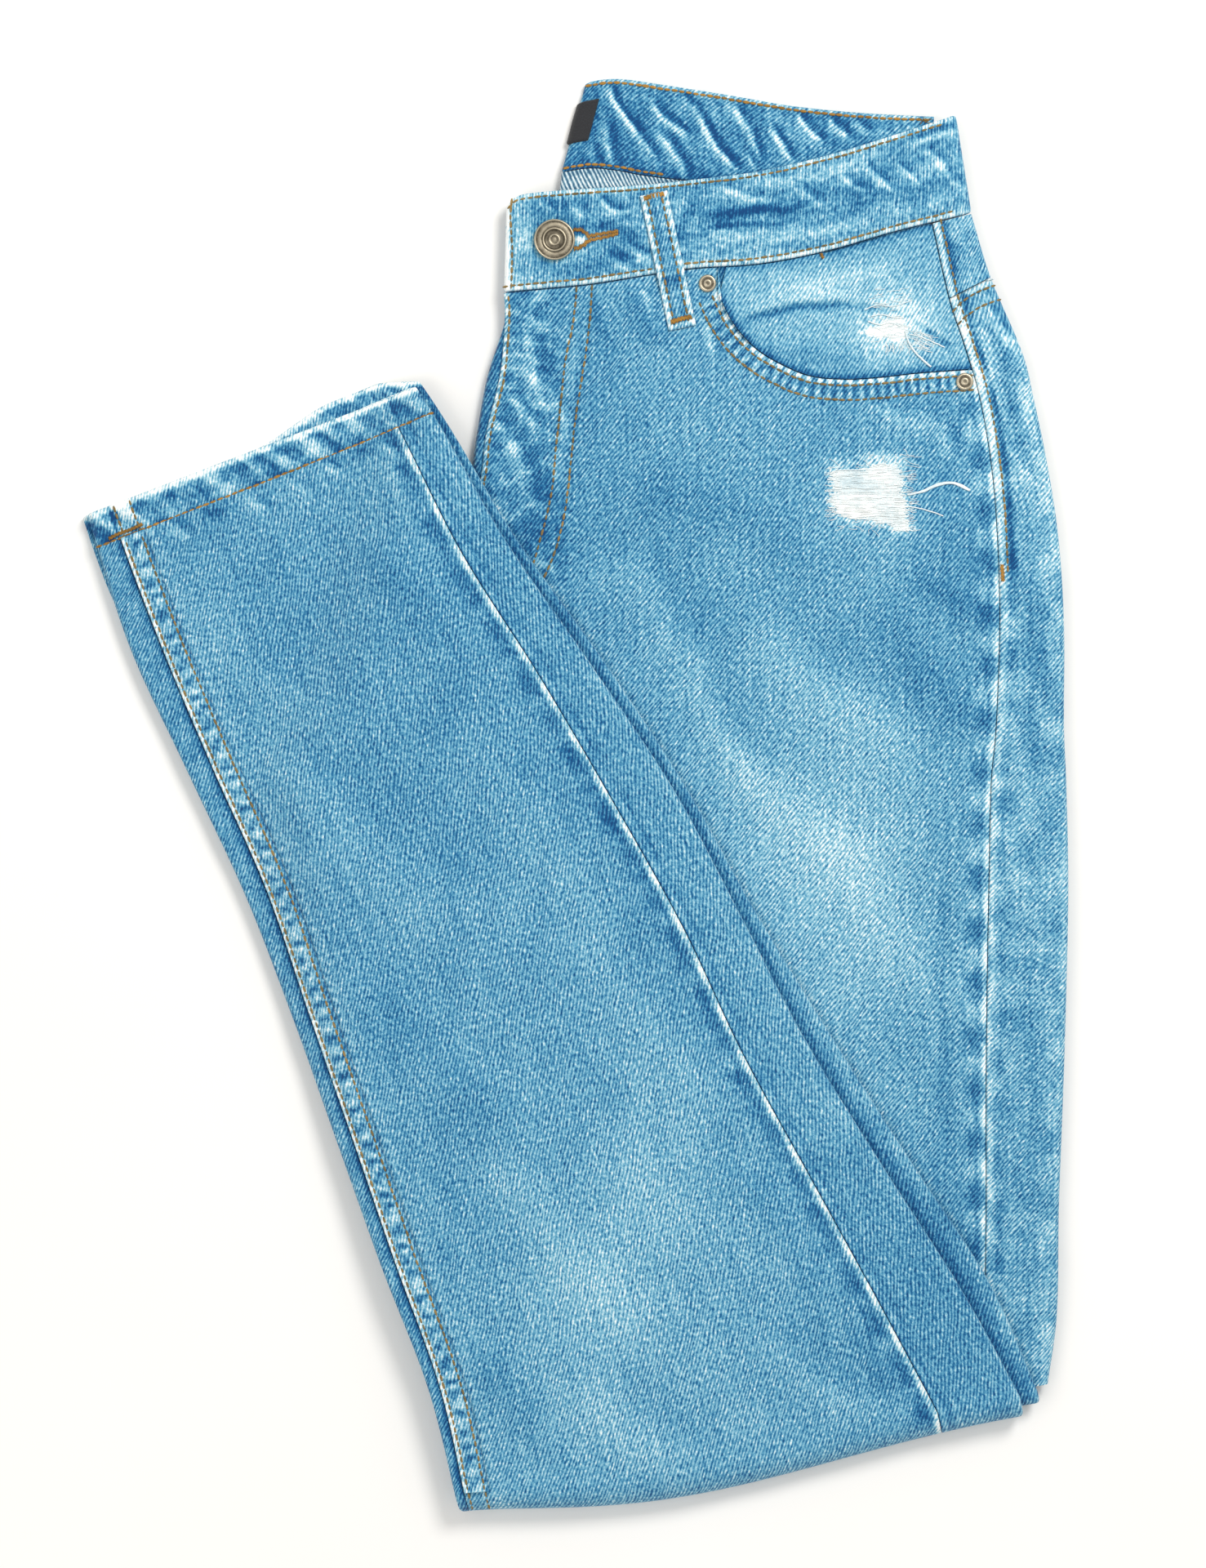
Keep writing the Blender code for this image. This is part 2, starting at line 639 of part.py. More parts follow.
LOWER_LEG = (0.0, LEFT_LEG_HEIGHT, KNEE_REACH - RIGHT_LEG_HEIGHT - LEG_GAP)
UPPER_LEG = (LEFT_LEG_HEIGHT + LEG_GAP, RIGHT_LEG_HEIGHT, KNEE_REACH)


def lower_ring(station):
    # The lower leg shows past the upper one at the hem's left corner and all down the right
    show = 2.6 * (1 - soft_step(station / 0.12))
    hide = 2.0 * soft_step((station - 0.05) / 0.1)
    right = leg_width(station) + leg_value("lower_out", station)
    marks = leg_marks(station) + outer_marks(station)
    return leg_ring(marks, hide - show, right, LEFT_LEG_HEIGHT)


def upper_ring(station):
    marks = leg_marks(station) + outer_marks(station)[:-1]
    return leg_ring(marks, 0.0, leg_width(station), RIGHT_LEG_HEIGHT)


def upper_back(station):
    # From the outseam round the right fold, below, and round the left edge to the inseam
    ring = upper_ring(station)
    marks = len(leg_marks(station))
    outseam = leg_width(station) - leg_value("outseam_in", station)
    inseam = leg_value("inseam_in", station)
    return [(outseam, RIGHT_LEG_HEIGHT)] + ring[marks:] + [(inseam, RIGHT_LEG_HEIGHT)]


def upper_front(station):
    return [(mark, RIGHT_LEG_HEIGHT) for mark in leg_marks(station)]


def inseam_fell(station):
    height = RIGHT_LEG_HEIGHT + SEAM_GAP + FELL_CLOTH
    return [(mark, height) for mark in leg_marks(station)[:2]]


def folded_legs():
    hem_end = HEM_DEPTH / LEG_LENGTH
    hem_rows = [(station, None) for station in np.linspace(0, hem_end, 3)]
    rows = leg_rows(hem_end + SEAM_GAP / LEG_LENGTH)
    add_wall("left_leg_hem", leg_grid(hem_rows, lower_ring, *LOWER_LEG), HEM_CLOTH,
             "denim_wash", ring=True)
    add_wall("right_leg_hem", leg_grid(hem_rows, upper_ring, *UPPER_LEG), HEM_CLOTH,
             "denim_wash", ring=True)
    add_wall("left_leg_folded", leg_grid(rows, lower_ring, *LOWER_LEG), CLOTH,
             "denim_deep", ring=True)
    add_wall("right_leg_back", leg_grid(rows, upper_back, *UPPER_LEG), CLOTH, "denim_wash")
    add_wall("right_leg_front", leg_grid(rows, upper_front, *UPPER_LEG), CLOTH, "denim_fade")
    flat_rows = [row for row in rows if row[1] is None]
    add_wall("right_inseam_fell", leg_grid(flat_rows, inseam_fell, *UPPER_LEG), FELL_CLOTH,
             "denim_wash")


def build():
    for old in list(bpy.data.objects):
        bpy.data.objects.remove(old)
    hidden_layers()
    left_front()
    pocket_facing()
    side_strip("back_yoke", 0.0, 0.0765, 3, "denim_wash")
    side_strip("left_back", 0.077, 1.0, 20, "denim_wash", drop=SEAM_GAP)
    front_waistband()
    back_waistband()
    yoke_inside()
    woven_label()
    belt_loop()
    waist_button()
    pocket_rivets()
    folded_legs()


build()
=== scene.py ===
# Boyfriend jeans, washed denim, folded and laid on a pale table: the looks.
import math

import bmesh
import bpy
import numpy as np
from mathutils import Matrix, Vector
from mathutils.bvhtree import BVHTree


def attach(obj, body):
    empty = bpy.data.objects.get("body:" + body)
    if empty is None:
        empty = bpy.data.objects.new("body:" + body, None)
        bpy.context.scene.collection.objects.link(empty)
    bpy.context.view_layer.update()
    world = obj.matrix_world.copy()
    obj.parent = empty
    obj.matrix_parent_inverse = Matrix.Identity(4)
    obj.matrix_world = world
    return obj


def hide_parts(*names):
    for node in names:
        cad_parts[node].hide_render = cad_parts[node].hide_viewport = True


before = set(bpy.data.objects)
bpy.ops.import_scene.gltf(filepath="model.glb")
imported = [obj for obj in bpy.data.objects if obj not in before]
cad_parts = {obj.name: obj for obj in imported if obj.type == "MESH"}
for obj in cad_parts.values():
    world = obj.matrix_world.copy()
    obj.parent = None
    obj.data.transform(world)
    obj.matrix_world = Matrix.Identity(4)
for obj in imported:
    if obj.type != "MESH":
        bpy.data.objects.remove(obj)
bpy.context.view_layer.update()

mm = 0.001
centre = np.array((-0.08, 1.32, 0.0))   # the tables' axes against the model's, in mm
photo = {"pixel": 0.34, "middleX": 704.0, "middleY": 976.0}

# Sizes in millimetres, as in the solids
cloth = {
    "panel": 1.4, "facing": 1.0, "band": 2.2, "backBand": 1.5, "hem": 1.7, "label": 1.0,
    "gap": 0.3, "legGap": 0.5, "panelUnder": 7.2, "panelTop": 8.6, "bandTop": 9.6,
    "hiddenTop": 6.9, "lowerTop": 3.45, "lipLow": 3.8, "bandLipLow": 4.0, "lipReach": 8.0,
}


def asColumns(names, rows):
    return dict(zip(names, np.array(rows, dtype=float).T))


body = asColumns(("leftX", "leftY", "seamX", "seamY", "foldX", "foldY", "underOut"), (
    (-29.6, 210.3, 149.3, 239.2, 165.6, 243.3, -1.0),
    (-29.3, 198.0, 156.4, 208.1, 173.7, 216.9, 0.5),
    (-31.3, 176.0, 162.5, 189.4, 186.7, 186.0, 5.5),
    (-37.0, 152.0, 169.0, 167.0, 191.5, 167.0, 4.2),
    (-39.5, 133.0, 174.0, 138.0, 197.5, 138.0, 4.5),
    (-47.0, 108.0, 176.5, 108.0, 202.0, 108.0, 3.0),
    (-57.0, 72.0, 177.4, 72.0, 204.3, 72.0, 2.0),
    (-74.0, 30.0, 176.0, 30.0, 204.3, 30.0, 1.0),
    (-90.0, 4.0, 173.8, 4.0, 205.3, 4.0, 1.0),
    (-80.0, -42.0, 172.8, -42.0, 206.1, -42.0, 1.0),
    (-68.0, -110.0, 171.8, -108.0, 204.5, -108.0, 1.0),
    (-58.0, -178.0, 171.7, -172.0, 202.2, -170.0, 1.0),
    (-50.5, -246.0, 171.0, -218.0, 201.4, -215.0, 0.5),
    (-48.0, -287.0, 170.5, -250.0, 197.5, -245.0, 0.5),
))
hiddenTopRow = {"leftX": -28.5, "leftY": 240.0, "foldX": 166.8, "foldY": 239.0}
leg = asColumns(("station", "leftX", "leftY", "foldX", "foldY", "inseamIn", "outseamIn",
                 "lowerOut"), (
    (0.000, -203.7, 118.0, -66.3, 171.0, 9.5, 14.4, 2.4),
    (0.125, -186.0, 62.6, -29.6, 108.1, 12.4, 18.7, 4.4),
    (0.250, -162.2, 11.2, 6.1, 56.1, 10.3, 21.5, 5.6),
    (0.375, -138.0, -40.5, 40.8, 3.7, 9.0, 25.2, 5.3),
    (0.500, -118.0, -91.8, 68.7, -48.6, 7.0, 24.2, 6.5),
    (0.625, -99.3, -143.5, 95.9, -101.0, 6.6, 26.5, 10.8),
    (0.750, -80.6, -195.2, 127.8, -153.0, 6.0, 29.8, 11.8),
    (0.875, -60.9, -246.5, 161.2, -205.4, 4.8, 34.2, 12.2),
    (1.000, -47.9, -298.2, 189.7, -257.7, 3.6, 34.6, 7.0),
))
legSizes = {
    "length": 460.0, "base": 9.0, "hemDepth": 12.6, "hemReach": 0.12, "hemSlant": 0.35,
    "hemPeek": 7.6, "kneeBow": 9.5, "kneeReach": 9.5, "leanStart": 17.0, "leanLength": 38.0,
    "fellWidth": 10.5, "fellCloth": 1.0,
}
frontBand = asColumns(("lowX", "lowY", "highX", "highY"), (
    (-29.6, 210.8, -28.6, 246.0),
    (-25.0, 211.2, -24.6, 250.4),
    (-14.3, 212.2, -16.0, 252.2),
    (6.8, 214.2, 4.0, 253.8),
    (28.2, 217.6, 26.0, 255.2),
    (49.3, 220.7, 48.0, 257.4),
    (77.5, 222.7, 76.0, 261.0),
    (105.7, 228.1, 104.0, 267.4),
    (133.6, 236.0, 131.0, 275.5),
    (165.6, 243.8, 159.1, 284.6),
))
backBand = asColumns(("lowX", "lowY", "highX", "highY"), (
    (-5.6, 261.2, 4.5, 298.8),
    (6.0, 262.9, 12.0, 300.2),
    (17.0, 262.0, 21.1, 300.2),
    (30.0, 259.6, 35.0, 298.2),
    (59.0, 256.0, 63.2, 293.8),
    (88.0, 251.5, 91.5, 289.0),
    (117.0, 248.5, 119.7, 285.9),
    (148.0, 246.8, 150.0, 284.2),
))
puckers = {"outseam": 21.0, "stitch": 4.6, "edge": 4.4, "mouth": 4.3, "inseam": 7.4,
           "hem": 12.6, "loop": 4.2, "back": 12.5}   # how far apart, in mm
depths = {"front": 37.0, "back": 38.0, "yoke": 16.0}
far = 30.0   # a distance at which no edge counts
seamRows = {"nearFell": 1.7, "farFell": 8.8, "loop": 3.1, "fly": 1.9, "outseam": 3.6,
            "hem": 12.5, "mouth": -2.4, "mouthInner": -8.4}
backSizes = {"height": 3.6, "lift": 3.1, "lean": 30.0, "yokeLow": 243.9}
pocket = {
    "mouth": ((60.2, 220.9), (59.8, 209.1), (65.3, 198.2), (76.2, 186.3), (87.0, 179.9),
              (96.9, 175.8), (111.9, 174.1), (126.8, 174.8), (141.8, 176.5), (164.6, 178.2)),
    "mouthEnd": 0.193,
}

# Curves and small sums


def toTable(x, y):
    # Millimetres in the tables' axes from a pixel of the photograph
    return (np.asarray(x) - photo["middleX"]) * photo["pixel"], \
        (photo["middleY"] - np.asarray(y)) * photo["pixel"]


def smooth(keys, values, at):
    slopes = np.gradient(values, keys)
    at = np.clip(at, keys[0], keys[-1])
    i = np.clip(np.searchsorted(keys, at) - 1, 0, len(keys) - 2)
    span = keys[i + 1] - keys[i]
    f = (at - keys[i]) / span
    start = (1 + 2 * f) * (1 - f) ** 2 * values[i] + f * (1 - f) ** 2 * span * slopes[i]
    end = f * f * (3 - 2 * f) * values[i + 1] + f * f * (f - 1) * span * slopes[i + 1]
    return start + end


def alongTable(columns, names, shares):
    keys = np.arange(len(columns[names[0]]), dtype=float)
    at = np.asarray(shares, dtype=float) * keys[-1]
    return np.stack([smooth(keys, columns[name], at) for name in names], axis=-1)


def curveThrough(points, step=None, shares=None):
    # Smooth curve through points, read at even steps or at shares of its length
    points = np.asarray(points, dtype=float)
    keys = runAlong(points)
    if shares is None:
        shares = np.linspace(0, 1, max(2, int(keys[-1] / step) + 1))
    at = np.asarray(shares) * keys[-1]
    return np.stack([smooth(keys, points[:, k], at) for k in range(points.shape[1])], axis=-1)


def runAlong(points):
    steps = np.linalg.norm(np.diff(points, axis=0), axis=1)
    return np.concatenate(([0.0], np.cumsum(steps)))


def runAcross(grid):
    steps = np.linalg.norm(np.diff(grid, axis=1), axis=2)
    return np.concatenate((np.zeros((len(grid), 1)), np.cumsum(steps, axis=1)), axis=1)


def unit(vector):
    return vector / np.linalg.norm(vector)


def sideways(line):
    # Unit vectors across a line, to its left
    run = np.gradient(line, axis=0)
    run /= np.linalg.norm(run, axis=1, keepdims=True)
    return np.stack((-run[:, 1], run[:, 0]), axis=1)


def bell(value, middle, width):
    return np.exp(-((value - middle) / width) ** 2)


def wavy(run, kind, shift):
    return np.sin(2 * math.pi * run / puckers[kind] + shift)


def puckered(pale, edge, run, kind, strength):
    # What the cloth's material reads at each point
    return {"pale": pale, "edge": edge, "phase": run / puckers[kind], "pucker": strength}


def softStep(share):
    share = np.clip(share, 0.0, 1.0)
    return share * share * (3 - 2 * share)


def edgeSteps(length, step, rim=1.6):
    # Shares of a length: even steps, with closer ones at both rims where the cloth rolls over
    close = [0.0, 0.12 * rim, 0.4 * rim, rim]
    inner = np.linspace(rim, length - rim, max(2, int((length - 2 * rim) / step) + 1))
    marks = close[:-1] + list(inner) + [length - value for value in reversed(close[:-1])]
    return np.array(marks) / length


def nearest(points, line):
    # Distance from each point to a line, how far along it that is, and on which side
    flat = points.reshape(-1, 2)
    best = np.full(len(flat), 1e9)
    run = np.zeros(len(flat))
    side = np.ones(len(flat))
    start = 0.0
    for a, b in zip(line[:-1], line[1:]):
        step = b - a
        length = np.linalg.norm(step)
        if length < 1e-9:
            continue
        share = np.clip(((flat - a) @ step) / length ** 2, 0, 1)
        off = flat - (a + share[:, None] * step)
        distance = np.linalg.norm(off, axis=1)
        closer = distance < best
        best[closer] = distance[closer]
        run[closer] = start + share[closer] * length
        side[closer] = np.sign(step[0] * off[closer, 1] - step[1] * off[closer, 0])
        start += length
    shape = points.shape[:-1]
    return best.reshape(shape), run.reshape(shape), side.reshape(shape)


def softNoise(x, y, size, seed):
    # Smooth noise from -1 to 1 with features of a size in millimetres
    grid = np.random.default_rng(seed).uniform(-1, 1, (64, 64))
    gx, gy = np.asarray(x) / size, np.asarray(y) / size
    ix, iy = np.floor(gx).astype(int), np.floor(gy).astype(int)
    fx, fy = softStep(gx - ix), softStep(gy - iy)
    corner = [grid[(ix + i) % 64, (iy + j) % 64] for i in (0, 1) for j in (0, 1)]
    near = corner[0] * (1 - fy) + corner[1] * fy
    far = corner[2] * (1 - fy) + corner[3] * fy
    return near * (1 - fx) + far * fx


# Wear and painted shade. Each row is in pixels of the photograph, sizes in millimetres.
# Creases: start, end, bend, width, how high it stands, how much paler it is.
creaseColumns = ("x0", "y0", "x1", "y1", "bend", "width", "rise", "pale")
backBandCreases = (
    (744, 102, 782, 161, 1.5, 1.3, 0.5, 0.50), (798, 122, 843, 166, 1.0, 1.5, 0.5, 0.34),
    (829, 113, 862, 150, -1.0, 1.4, 0.4, 0.22), (857, 141, 901, 206, 1.0, 1.5, 0.6, 0.48),
    (894, 122, 930, 195, -1.5, 1.6, 0.5, 0.34), (944, 150, 967, 196, 0.5, 1.4, 0.5, 0.44),
    (978, 138, 1006, 172, 0.5, 1.4, 0.4, 0.40), (804, 161, 841, 217, -2.0, 1.8, 0.5, 0.34),
    (740, 144, 751, 200, 1.0, 1.8, 0.4, 0.30), (1016, 142, 1040, 170, 0.5, 1.4, 0.4, 0.34),
    (770, 150, 806, 205, -1.0, 1.6, 0.4, 0.20), (1048, 146, 1066, 162, 0.3, 1.4, 0.3, 0.30),
    (720, 178, 734, 204, 0.5, 1.6, 0.3, 0.24), (915, 186, 925, 204, 0.0, 1.2, 0.2, 0.24),
)
frontBandCreases = (
    (728, 240, 762, 262, 1.0, 1.5, 0.4, 0.40), (700, 250, 716, 274, -0.5, 2.2, 0.3, 0.22),
    (762, 298, 796, 320, -0.5, 1.6, 0.4, 0.36), (742, 262, 788, 280, 1.0, 1.6, 0.3, 0.16),
    (735, 304, 775, 330, 1.0, 2.0, 0.3, 0.22), (850, 262, 1000, 248, 1.0, 1.9, 0.5, -0.34),
    (862, 280, 950, 272, -0.6, 1.5, 0.3, -0.26), (1000, 238, 1120, 208, 0.5, 3.2, 0.3, -0.18),
    (860, 286, 990, 274, 1.0, 3.0, 0.4, 0.16), (900, 300, 1080, 262, 1.0, 2.6, 0.3, 0.14),
    (1060, 224, 1176, 190, 1.0, 3.0, 0.3, 0.16), (1040, 244, 1180, 214, 0.0, 2.4, 0.3, -0.16),
    (870, 232, 1080, 190, 1.0, 3.2, 0.3, 0.18), (640, 262, 648, 330, 0.0, 3.0, 0.2, 0.12),
    (690, 330, 780, 314, 0.5, 3.2, 0.3, -0.16), (655, 256, 700, 252, 0.0, 2.6, 0.2, -0.10),
    (1090, 262, 1186, 236, 0.5, 2.2, 0.3, 0.16), (1110, 180, 1170, 160, 0.0, 1.6, 0.3, 0.24),
    (1030, 214, 1066, 236, 0.6, 1.4, 0.4, 0.30), (1058, 200, 1096, 232, 0.8, 1.4, 0.4, 0.34),
    (1096, 196, 1128, 226, 0.6, 1.3, 0.4, 0.30), (1130, 180, 1160, 204, 0.5, 1.3, 0.4, 0.34),
    (970, 226, 1010, 250, 0.6, 1.4, 0.4, 0.26), (1150, 200, 1180, 230, 0.5, 1.4, 0.3, 0.24),
    (880, 228, 950, 246, 0.8, 1.4, 0.3, 0.28), (660, 244, 676, 258, 0.3, 1.4, 0.3, 0.30),
    (704, 292, 718, 291, 0.0, 1.8, -0.3, 0.70), (728, 270, 782, 286, 0.0, 3.0, -0.2, -0.22),
    (735, 312, 790, 300, 0.0, 3.0, -0.2, -0.18), (830, 300, 850, 240, 0.0, 2.6, -0.2, -0.20),
    (870, 262, 960, 246, 0.5, 2.4, -0.2, -0.20), (690, 236, 770, 230, 0.0, 2.6, 0.2, 0.14),
)
frontCreases = (
    (646, 404, 662, 470, 1.5, 2.6, 0.5, 0.34), (630, 440, 668, 500, -1.5, 2.2, 0.5, 0.30),
    (618, 470, 662, 530, 1.0, 2.0, 0.5, 0.30), (604, 516, 640, 560, 0.5, 2.2, 0.4, 0.28),
    (668, 460, 690, 520, 0.5, 2.2, 0.4, 0.22), (640, 392, 690, 400, 1.0, 2.4, 0.3, 0.20),
    (630, 372, 664, 366, 0.5, 2.0, 0.3, 0.24), (660, 388, 678, 376, 0.0, 2.0, 0.3, 0.22),
    (622, 540, 660, 590, 1.0, 2.4, 0.4, 0.22), (600, 560, 626, 598, 0.5, 2.2, 0.3, 0.18),
    (640, 580, 668, 640, 0.5, 2.4, 0.3, 0.16), (866, 392, 874, 434, 0.5, 1.8, 0.4, 0.26),
    (790, 352, 800, 380, 0.0, 1.6, 0.3, 0.18), (724, 366, 740, 420, 0.5, 2.8, 0.3, -0.12),
    (764, 356, 822, 420, 2.0, 5.0, 0.4, -0.12), (706, 420, 676, 640, 1.0, 2.2, 0.4, 0.12),
    (736, 690, 860, 850, -6.0, 9.0, 0.7, 0.10), (900, 760, 1130, 900, 8.0, 12.0, 0.8, 0.08),
    (860, 900, 1080, 1050, 6.0, 10.0, 0.6, 0.06), (760, 590, 1000, 700, -5.0, 9.0, 0.6, -0.06),
    (1090, 740, 1200, 900, 5.0, 9.0, 0.6, -0.08), (1030, 1060, 1190, 1230, 5.0, 10.0, 0.6, 0.05),
    (840, 830, 930, 960, 3.0, 6.0, 0.5, 0.09), (1060, 500, 1160, 520, 1.0, 4.0, 0.3, 0.12),
    (1150, 520, 1166, 560, 0.5, 3.0, 0.3, 0.16),
    (1157, 1060, 1163, 1440, 1.5, 2.6, -0.5, -0.09), (1120, 700, 1215, 760, 2.0, 7.0, 0.5, -0.10),
)
facingCreases = (
    (905, 396, 1052, 374, -3.5, 1.7, -0.7, -0.34), (1052, 374, 1100, 382, -0.5, 1.6, -0.5, -0.20),
    (1128, 396, 1166, 424, 0.5, 1.4, -0.4, -0.30), (904, 380, 1040, 360, -3.5, 4.0, 0.3, 0.05),
    (960, 348, 1100, 316, 2.0, 4.0, 0.3, 0.10), (930, 430, 1060, 446, -1.5, 3.5, 0.3, -0.08),
)
legCreases = (
    (246, 626, 275, 622, 0.3, 2.4, 0.3, -0.34), (205, 642, 232, 660, 0.5, 1.8, 0.3, 0.26),
    (300, 603, 322, 628, 0.5, 2.0, 0.3, 0.20), (392, 566, 420, 580, 0.5, 1.6, 0.3, 0.28),
    (352, 586, 380, 604, 0.5, 1.8, 0.3, 0.16), (430, 554, 462, 548, 0.3, 2.2, 0.3, -0.26),
    (468, 540, 486, 556, 0.3, 1.8, 0.3, 0.26), (478, 566, 484, 590, 0.3, 2.0, 0.3, 0.20),
    (240, 700, 420, 900, 8.0, 11.0, 0.7, 0.05), (420, 640, 560, 860, -6.0, 10.0, 0.7, -0.05),
    (320, 900, 560, 1120, 8.0, 12.0, 0.7, 0.05), (560, 900, 760, 1180, -7.0, 12.0, 0.7, 0.05),
    (430, 1180, 640, 1400, 8.0, 12.0, 0.7, -0.04), (700, 1160, 860, 1400, -6.0, 11.0, 0.7, 0.05),
    (620, 1400, 800, 1620, 7.0, 12.0, 0.8, 0.07), (860, 1420, 1010, 1600, -5.0, 9.0, 0.7, -0.05),
    (590, 1640, 700, 1800, 4.0, 8.0, 0.6, -0.06), (720, 1700, 860, 1800, 4.0, 9.0, 0.6, 0.08),
    (940, 1640, 1080, 1740, 3.0, 7.0, 0.5, 0.07), (1050, 1620, 1090, 1700, 1.0, 4.0, 0.4, -0.08),
)
backCreases = (
    (1206, 372, 1240, 420, 1.0, 2.0, 0.4, 0.22), (1216, 388, 1262, 470, 1.5, 3.0, 0.4, -0.16),
    (1212, 440, 1230, 520, 0.5, 2.4, 0.3, 0.20), (1240, 450, 1262, 560, 1.0, 3.2, 0.4, -0.12),
    (1228, 640, 1250, 720, 0.5, 3.0, 0.3, -0.16), (1262, 700, 1290, 860, 1.5, 4.0, 0.4, -0.10),
    (1240, 860, 1262, 980, 1.0, 4.0, 0.4, 0.10), (1236, 1020, 1270, 1140, 1.0, 4.0, 0.4, 0.08),
    (1260, 1250, 1280, 1420, 1.0, 4.0, 0.4, -0.08), (1230, 540, 1262, 590, 0.5, 2.4, 0.3, 0.14),
)
# Soft fades: middle, half width and height, turn in degrees, how much paler
fadeColumns = ("x", "y", "halfWide", "halfHigh", "turn", "pale")
fades = (
    (1040, 1120, 120, 240, 6, 0.15), (985, 1000, 110, 130, 0, 0.09), (900, 820, 150, 160, 0, 0.03),
    (1060, 1010, 90, 120, 0, 0.07), (760, 640, 70, 160, 20, -0.06), (664, 640, 28, 66, 14, -0.26),
    (1180, 680, 50, 130, 0, -0.10), (1150, 470, 90, 40, 0, 0.05), (900, 520, 80, 70, 0, 0.03),
    (736, 430, 40, 70, 0, -0.05), (652, 470, 28, 90, 8, 0.14), (1190, 560, 16, 90, 0, 0.10),
    (1150, 1420, 70, 200, 0, -0.03), (1180, 1560, 60, 110, 0, -0.06),
    (1265, 620, 34, 190, 0, -0.02), (1270, 1000, 40, 190, 0, 0.01),
    (1262, 1400, 50, 220, 0, -0.05), (740, 1560, 110, 200, -22, 0.13),
    (800, 1480, 80, 150, -22, 0.08), (930, 1580, 90, 110, -22, 0.04),
    (640, 1360, 110, 160, -22, 0.03), (330, 760, 130, 110, -20, -0.02),
    (480, 900, 120, 140, -22, -0.02), (880, 1740, 170, 50, -8, 0.08),
    (700, 1790, 90, 44, -4, 0.05), (1000, 340, 120, 44, -6, 0.16), (960, 410, 70, 36, 0, 0.02),
    (1090, 400, 80, 60, 0, 0.06), (880, 290, 90, 40, 0, 0.06), (700, 270, 70, 40, 0, -0.02),
    (1110, 220, 80, 40, -14, 0.10), (560, 700, 60, 90, -20, -0.03),
    (950, 1350, 90, 120, -22, -0.02),
)


def creaseField(x, y, rows):
    # Pale ridges stand for worn whiskers. The sunk trough on one side of each ridge is painted
    # shade beside a pale crease, and a little paler beside a dark one. A crease that is sunk and
    # darker is painted shade in its groove.
    rise = np.zeros(np.shape(x))
    pale = np.zeros(np.shape(x))
    for row in rows:
        crease = dict(zip(creaseColumns, row))
        ax, ay = toTable(crease["x0"], crease["y0"])
        bx, by = toTable(crease["x1"], crease["y1"])
        length = math.hypot(bx - ax, by - ay)
        dx, dy = (bx - ax) / length, (by - ay) / length
        along = ((x - ax) * dx + (y - ay) * dy) / length
        off = (x - ax) * dy - (y - ay) * dx
        wander = softNoise(x, y, 6 + 2 * crease["width"], 11) * 0.5 * crease["width"]
        off = off - crease["bend"] * 4 * along * (1 - along) + wander
        window = softStep((along + 0.12) / 0.34) * softStep((1.12 - along) / 0.34)
        ridge = bell(off, 0, crease["width"]) * window
        trough = bell(off + 1.7 * crease["width"], 0, 1.3 * crease["width"]) * window
        lobe = 0.6 if crease["pale"] > 0 else 0.15
        rise += crease["rise"] * (ridge - 0.5 * trough)
        pale += crease["pale"] * (ridge - lobe * trough)
    return rise, pale


def fadeField(x, y):
    pale = np.zeros(np.shape(x))
    for row in fades:
        fade = dict(zip(fadeColumns, row))
        fx, fy = toTable(fade["x"], fade["y"])
        turn = math.radians(fade["turn"])
        u = (x - fx) * math.cos(turn) + (y - fy) * math.sin(turn)
        v = (y - fy) * math.cos(turn) - (x - fx) * math.sin(turn)
        wide, high = fade["halfWide"] * photo["pixel"], fade["halfHigh"] * photo["pixel"]
        pale += fade["pale"] * np.exp(-(u / wide) ** 2 - (v / high) ** 2)
    cloudy = softNoise(x, y, 26, 3) * 0.02 + softNoise(x, y, 11, 4) * 0.01
    return 0.75 * pale + cloudy


# Meshes from grids of points


def outward(grid, ring):
    down = np.gradient(grid, axis=0)
    if ring:
        across = np.roll(grid, -1, axis=1) - np.roll(grid, 1, axis=1)
    else:
        across = np.gradient(grid, axis=1)
    normal = np.cross(down, across)
    size = np.linalg.norm(normal, axis=2, keepdims=True)
    return normal / np.maximum(size, 1e-9)


def topFacing(grid, ring=False):
    return softStep((outward(grid, ring)[..., 2] - 0.1) / 0.6)


def gridFaces(rows, columns, ring, start=0, flip=False):
    wide = columns if ring else columns - 1
    i, j = np.meshgrid(np.arange(rows - 1), np.arange(wide), indexing="ij")
    k = (j + 1) % columns
    quad = np.stack((i * columns + j, i * columns + k,
                     (i + 1) * columns + k, (i + 1) * columns + j), axis=-1)
    quad = quad.reshape(-1, 4) + start
    return quad[:, ::-1] if flip else quad


def rimFaces(first, second, loop):
    # Quads between two rows of points, as index lists
    first, second = np.asarray(first), np.asarray(second)
    nextFirst, nextSecond = np.roll(first, -1), np.roll(second, -1)
    quad = np.stack((first, second, nextSecond, nextFirst), axis=-1)
    return quad if loop else quad[:-1]


def buildMesh(name, points, faces, finish, uv=None, values=None):
    mesh = bpy.data.meshes.new(name)
    world = (np.asarray(points) - centre) * mm
    mesh.from_pydata(world.tolist(), [], [tuple(int(k) for k in face) for face in faces])
    corner = np.empty(len(mesh.loops), dtype=np.int32)
    mesh.loops.foreach_get("vertex_index", corner)
    if uv is not None:
        layer = mesh.uv_layers.new(name="cloth")
        layer.data.foreach_set("uv", (np.asarray(uv)[corner] * mm).astype(np.float32).ravel())
    for key, value in (values or {}).items():
        layer = mesh.attributes.new(key, "FLOAT", "POINT")
        layer.data.foreach_set("value", np.asarray(value, dtype=np.float32).ravel())
    shape = bmesh.new()
    shape.from_mesh(mesh)
    bmesh.ops.recalc_face_normals(shape, faces=shape.faces)
    shape.to_mesh(mesh)
    shape.free()
    mesh.shade_smooth()
    mesh.materials.append(finish)
    thing = bpy.data.objects.new(name, mesh)
    bpy.context.scene.collection.objects.link(thing)
    return thing


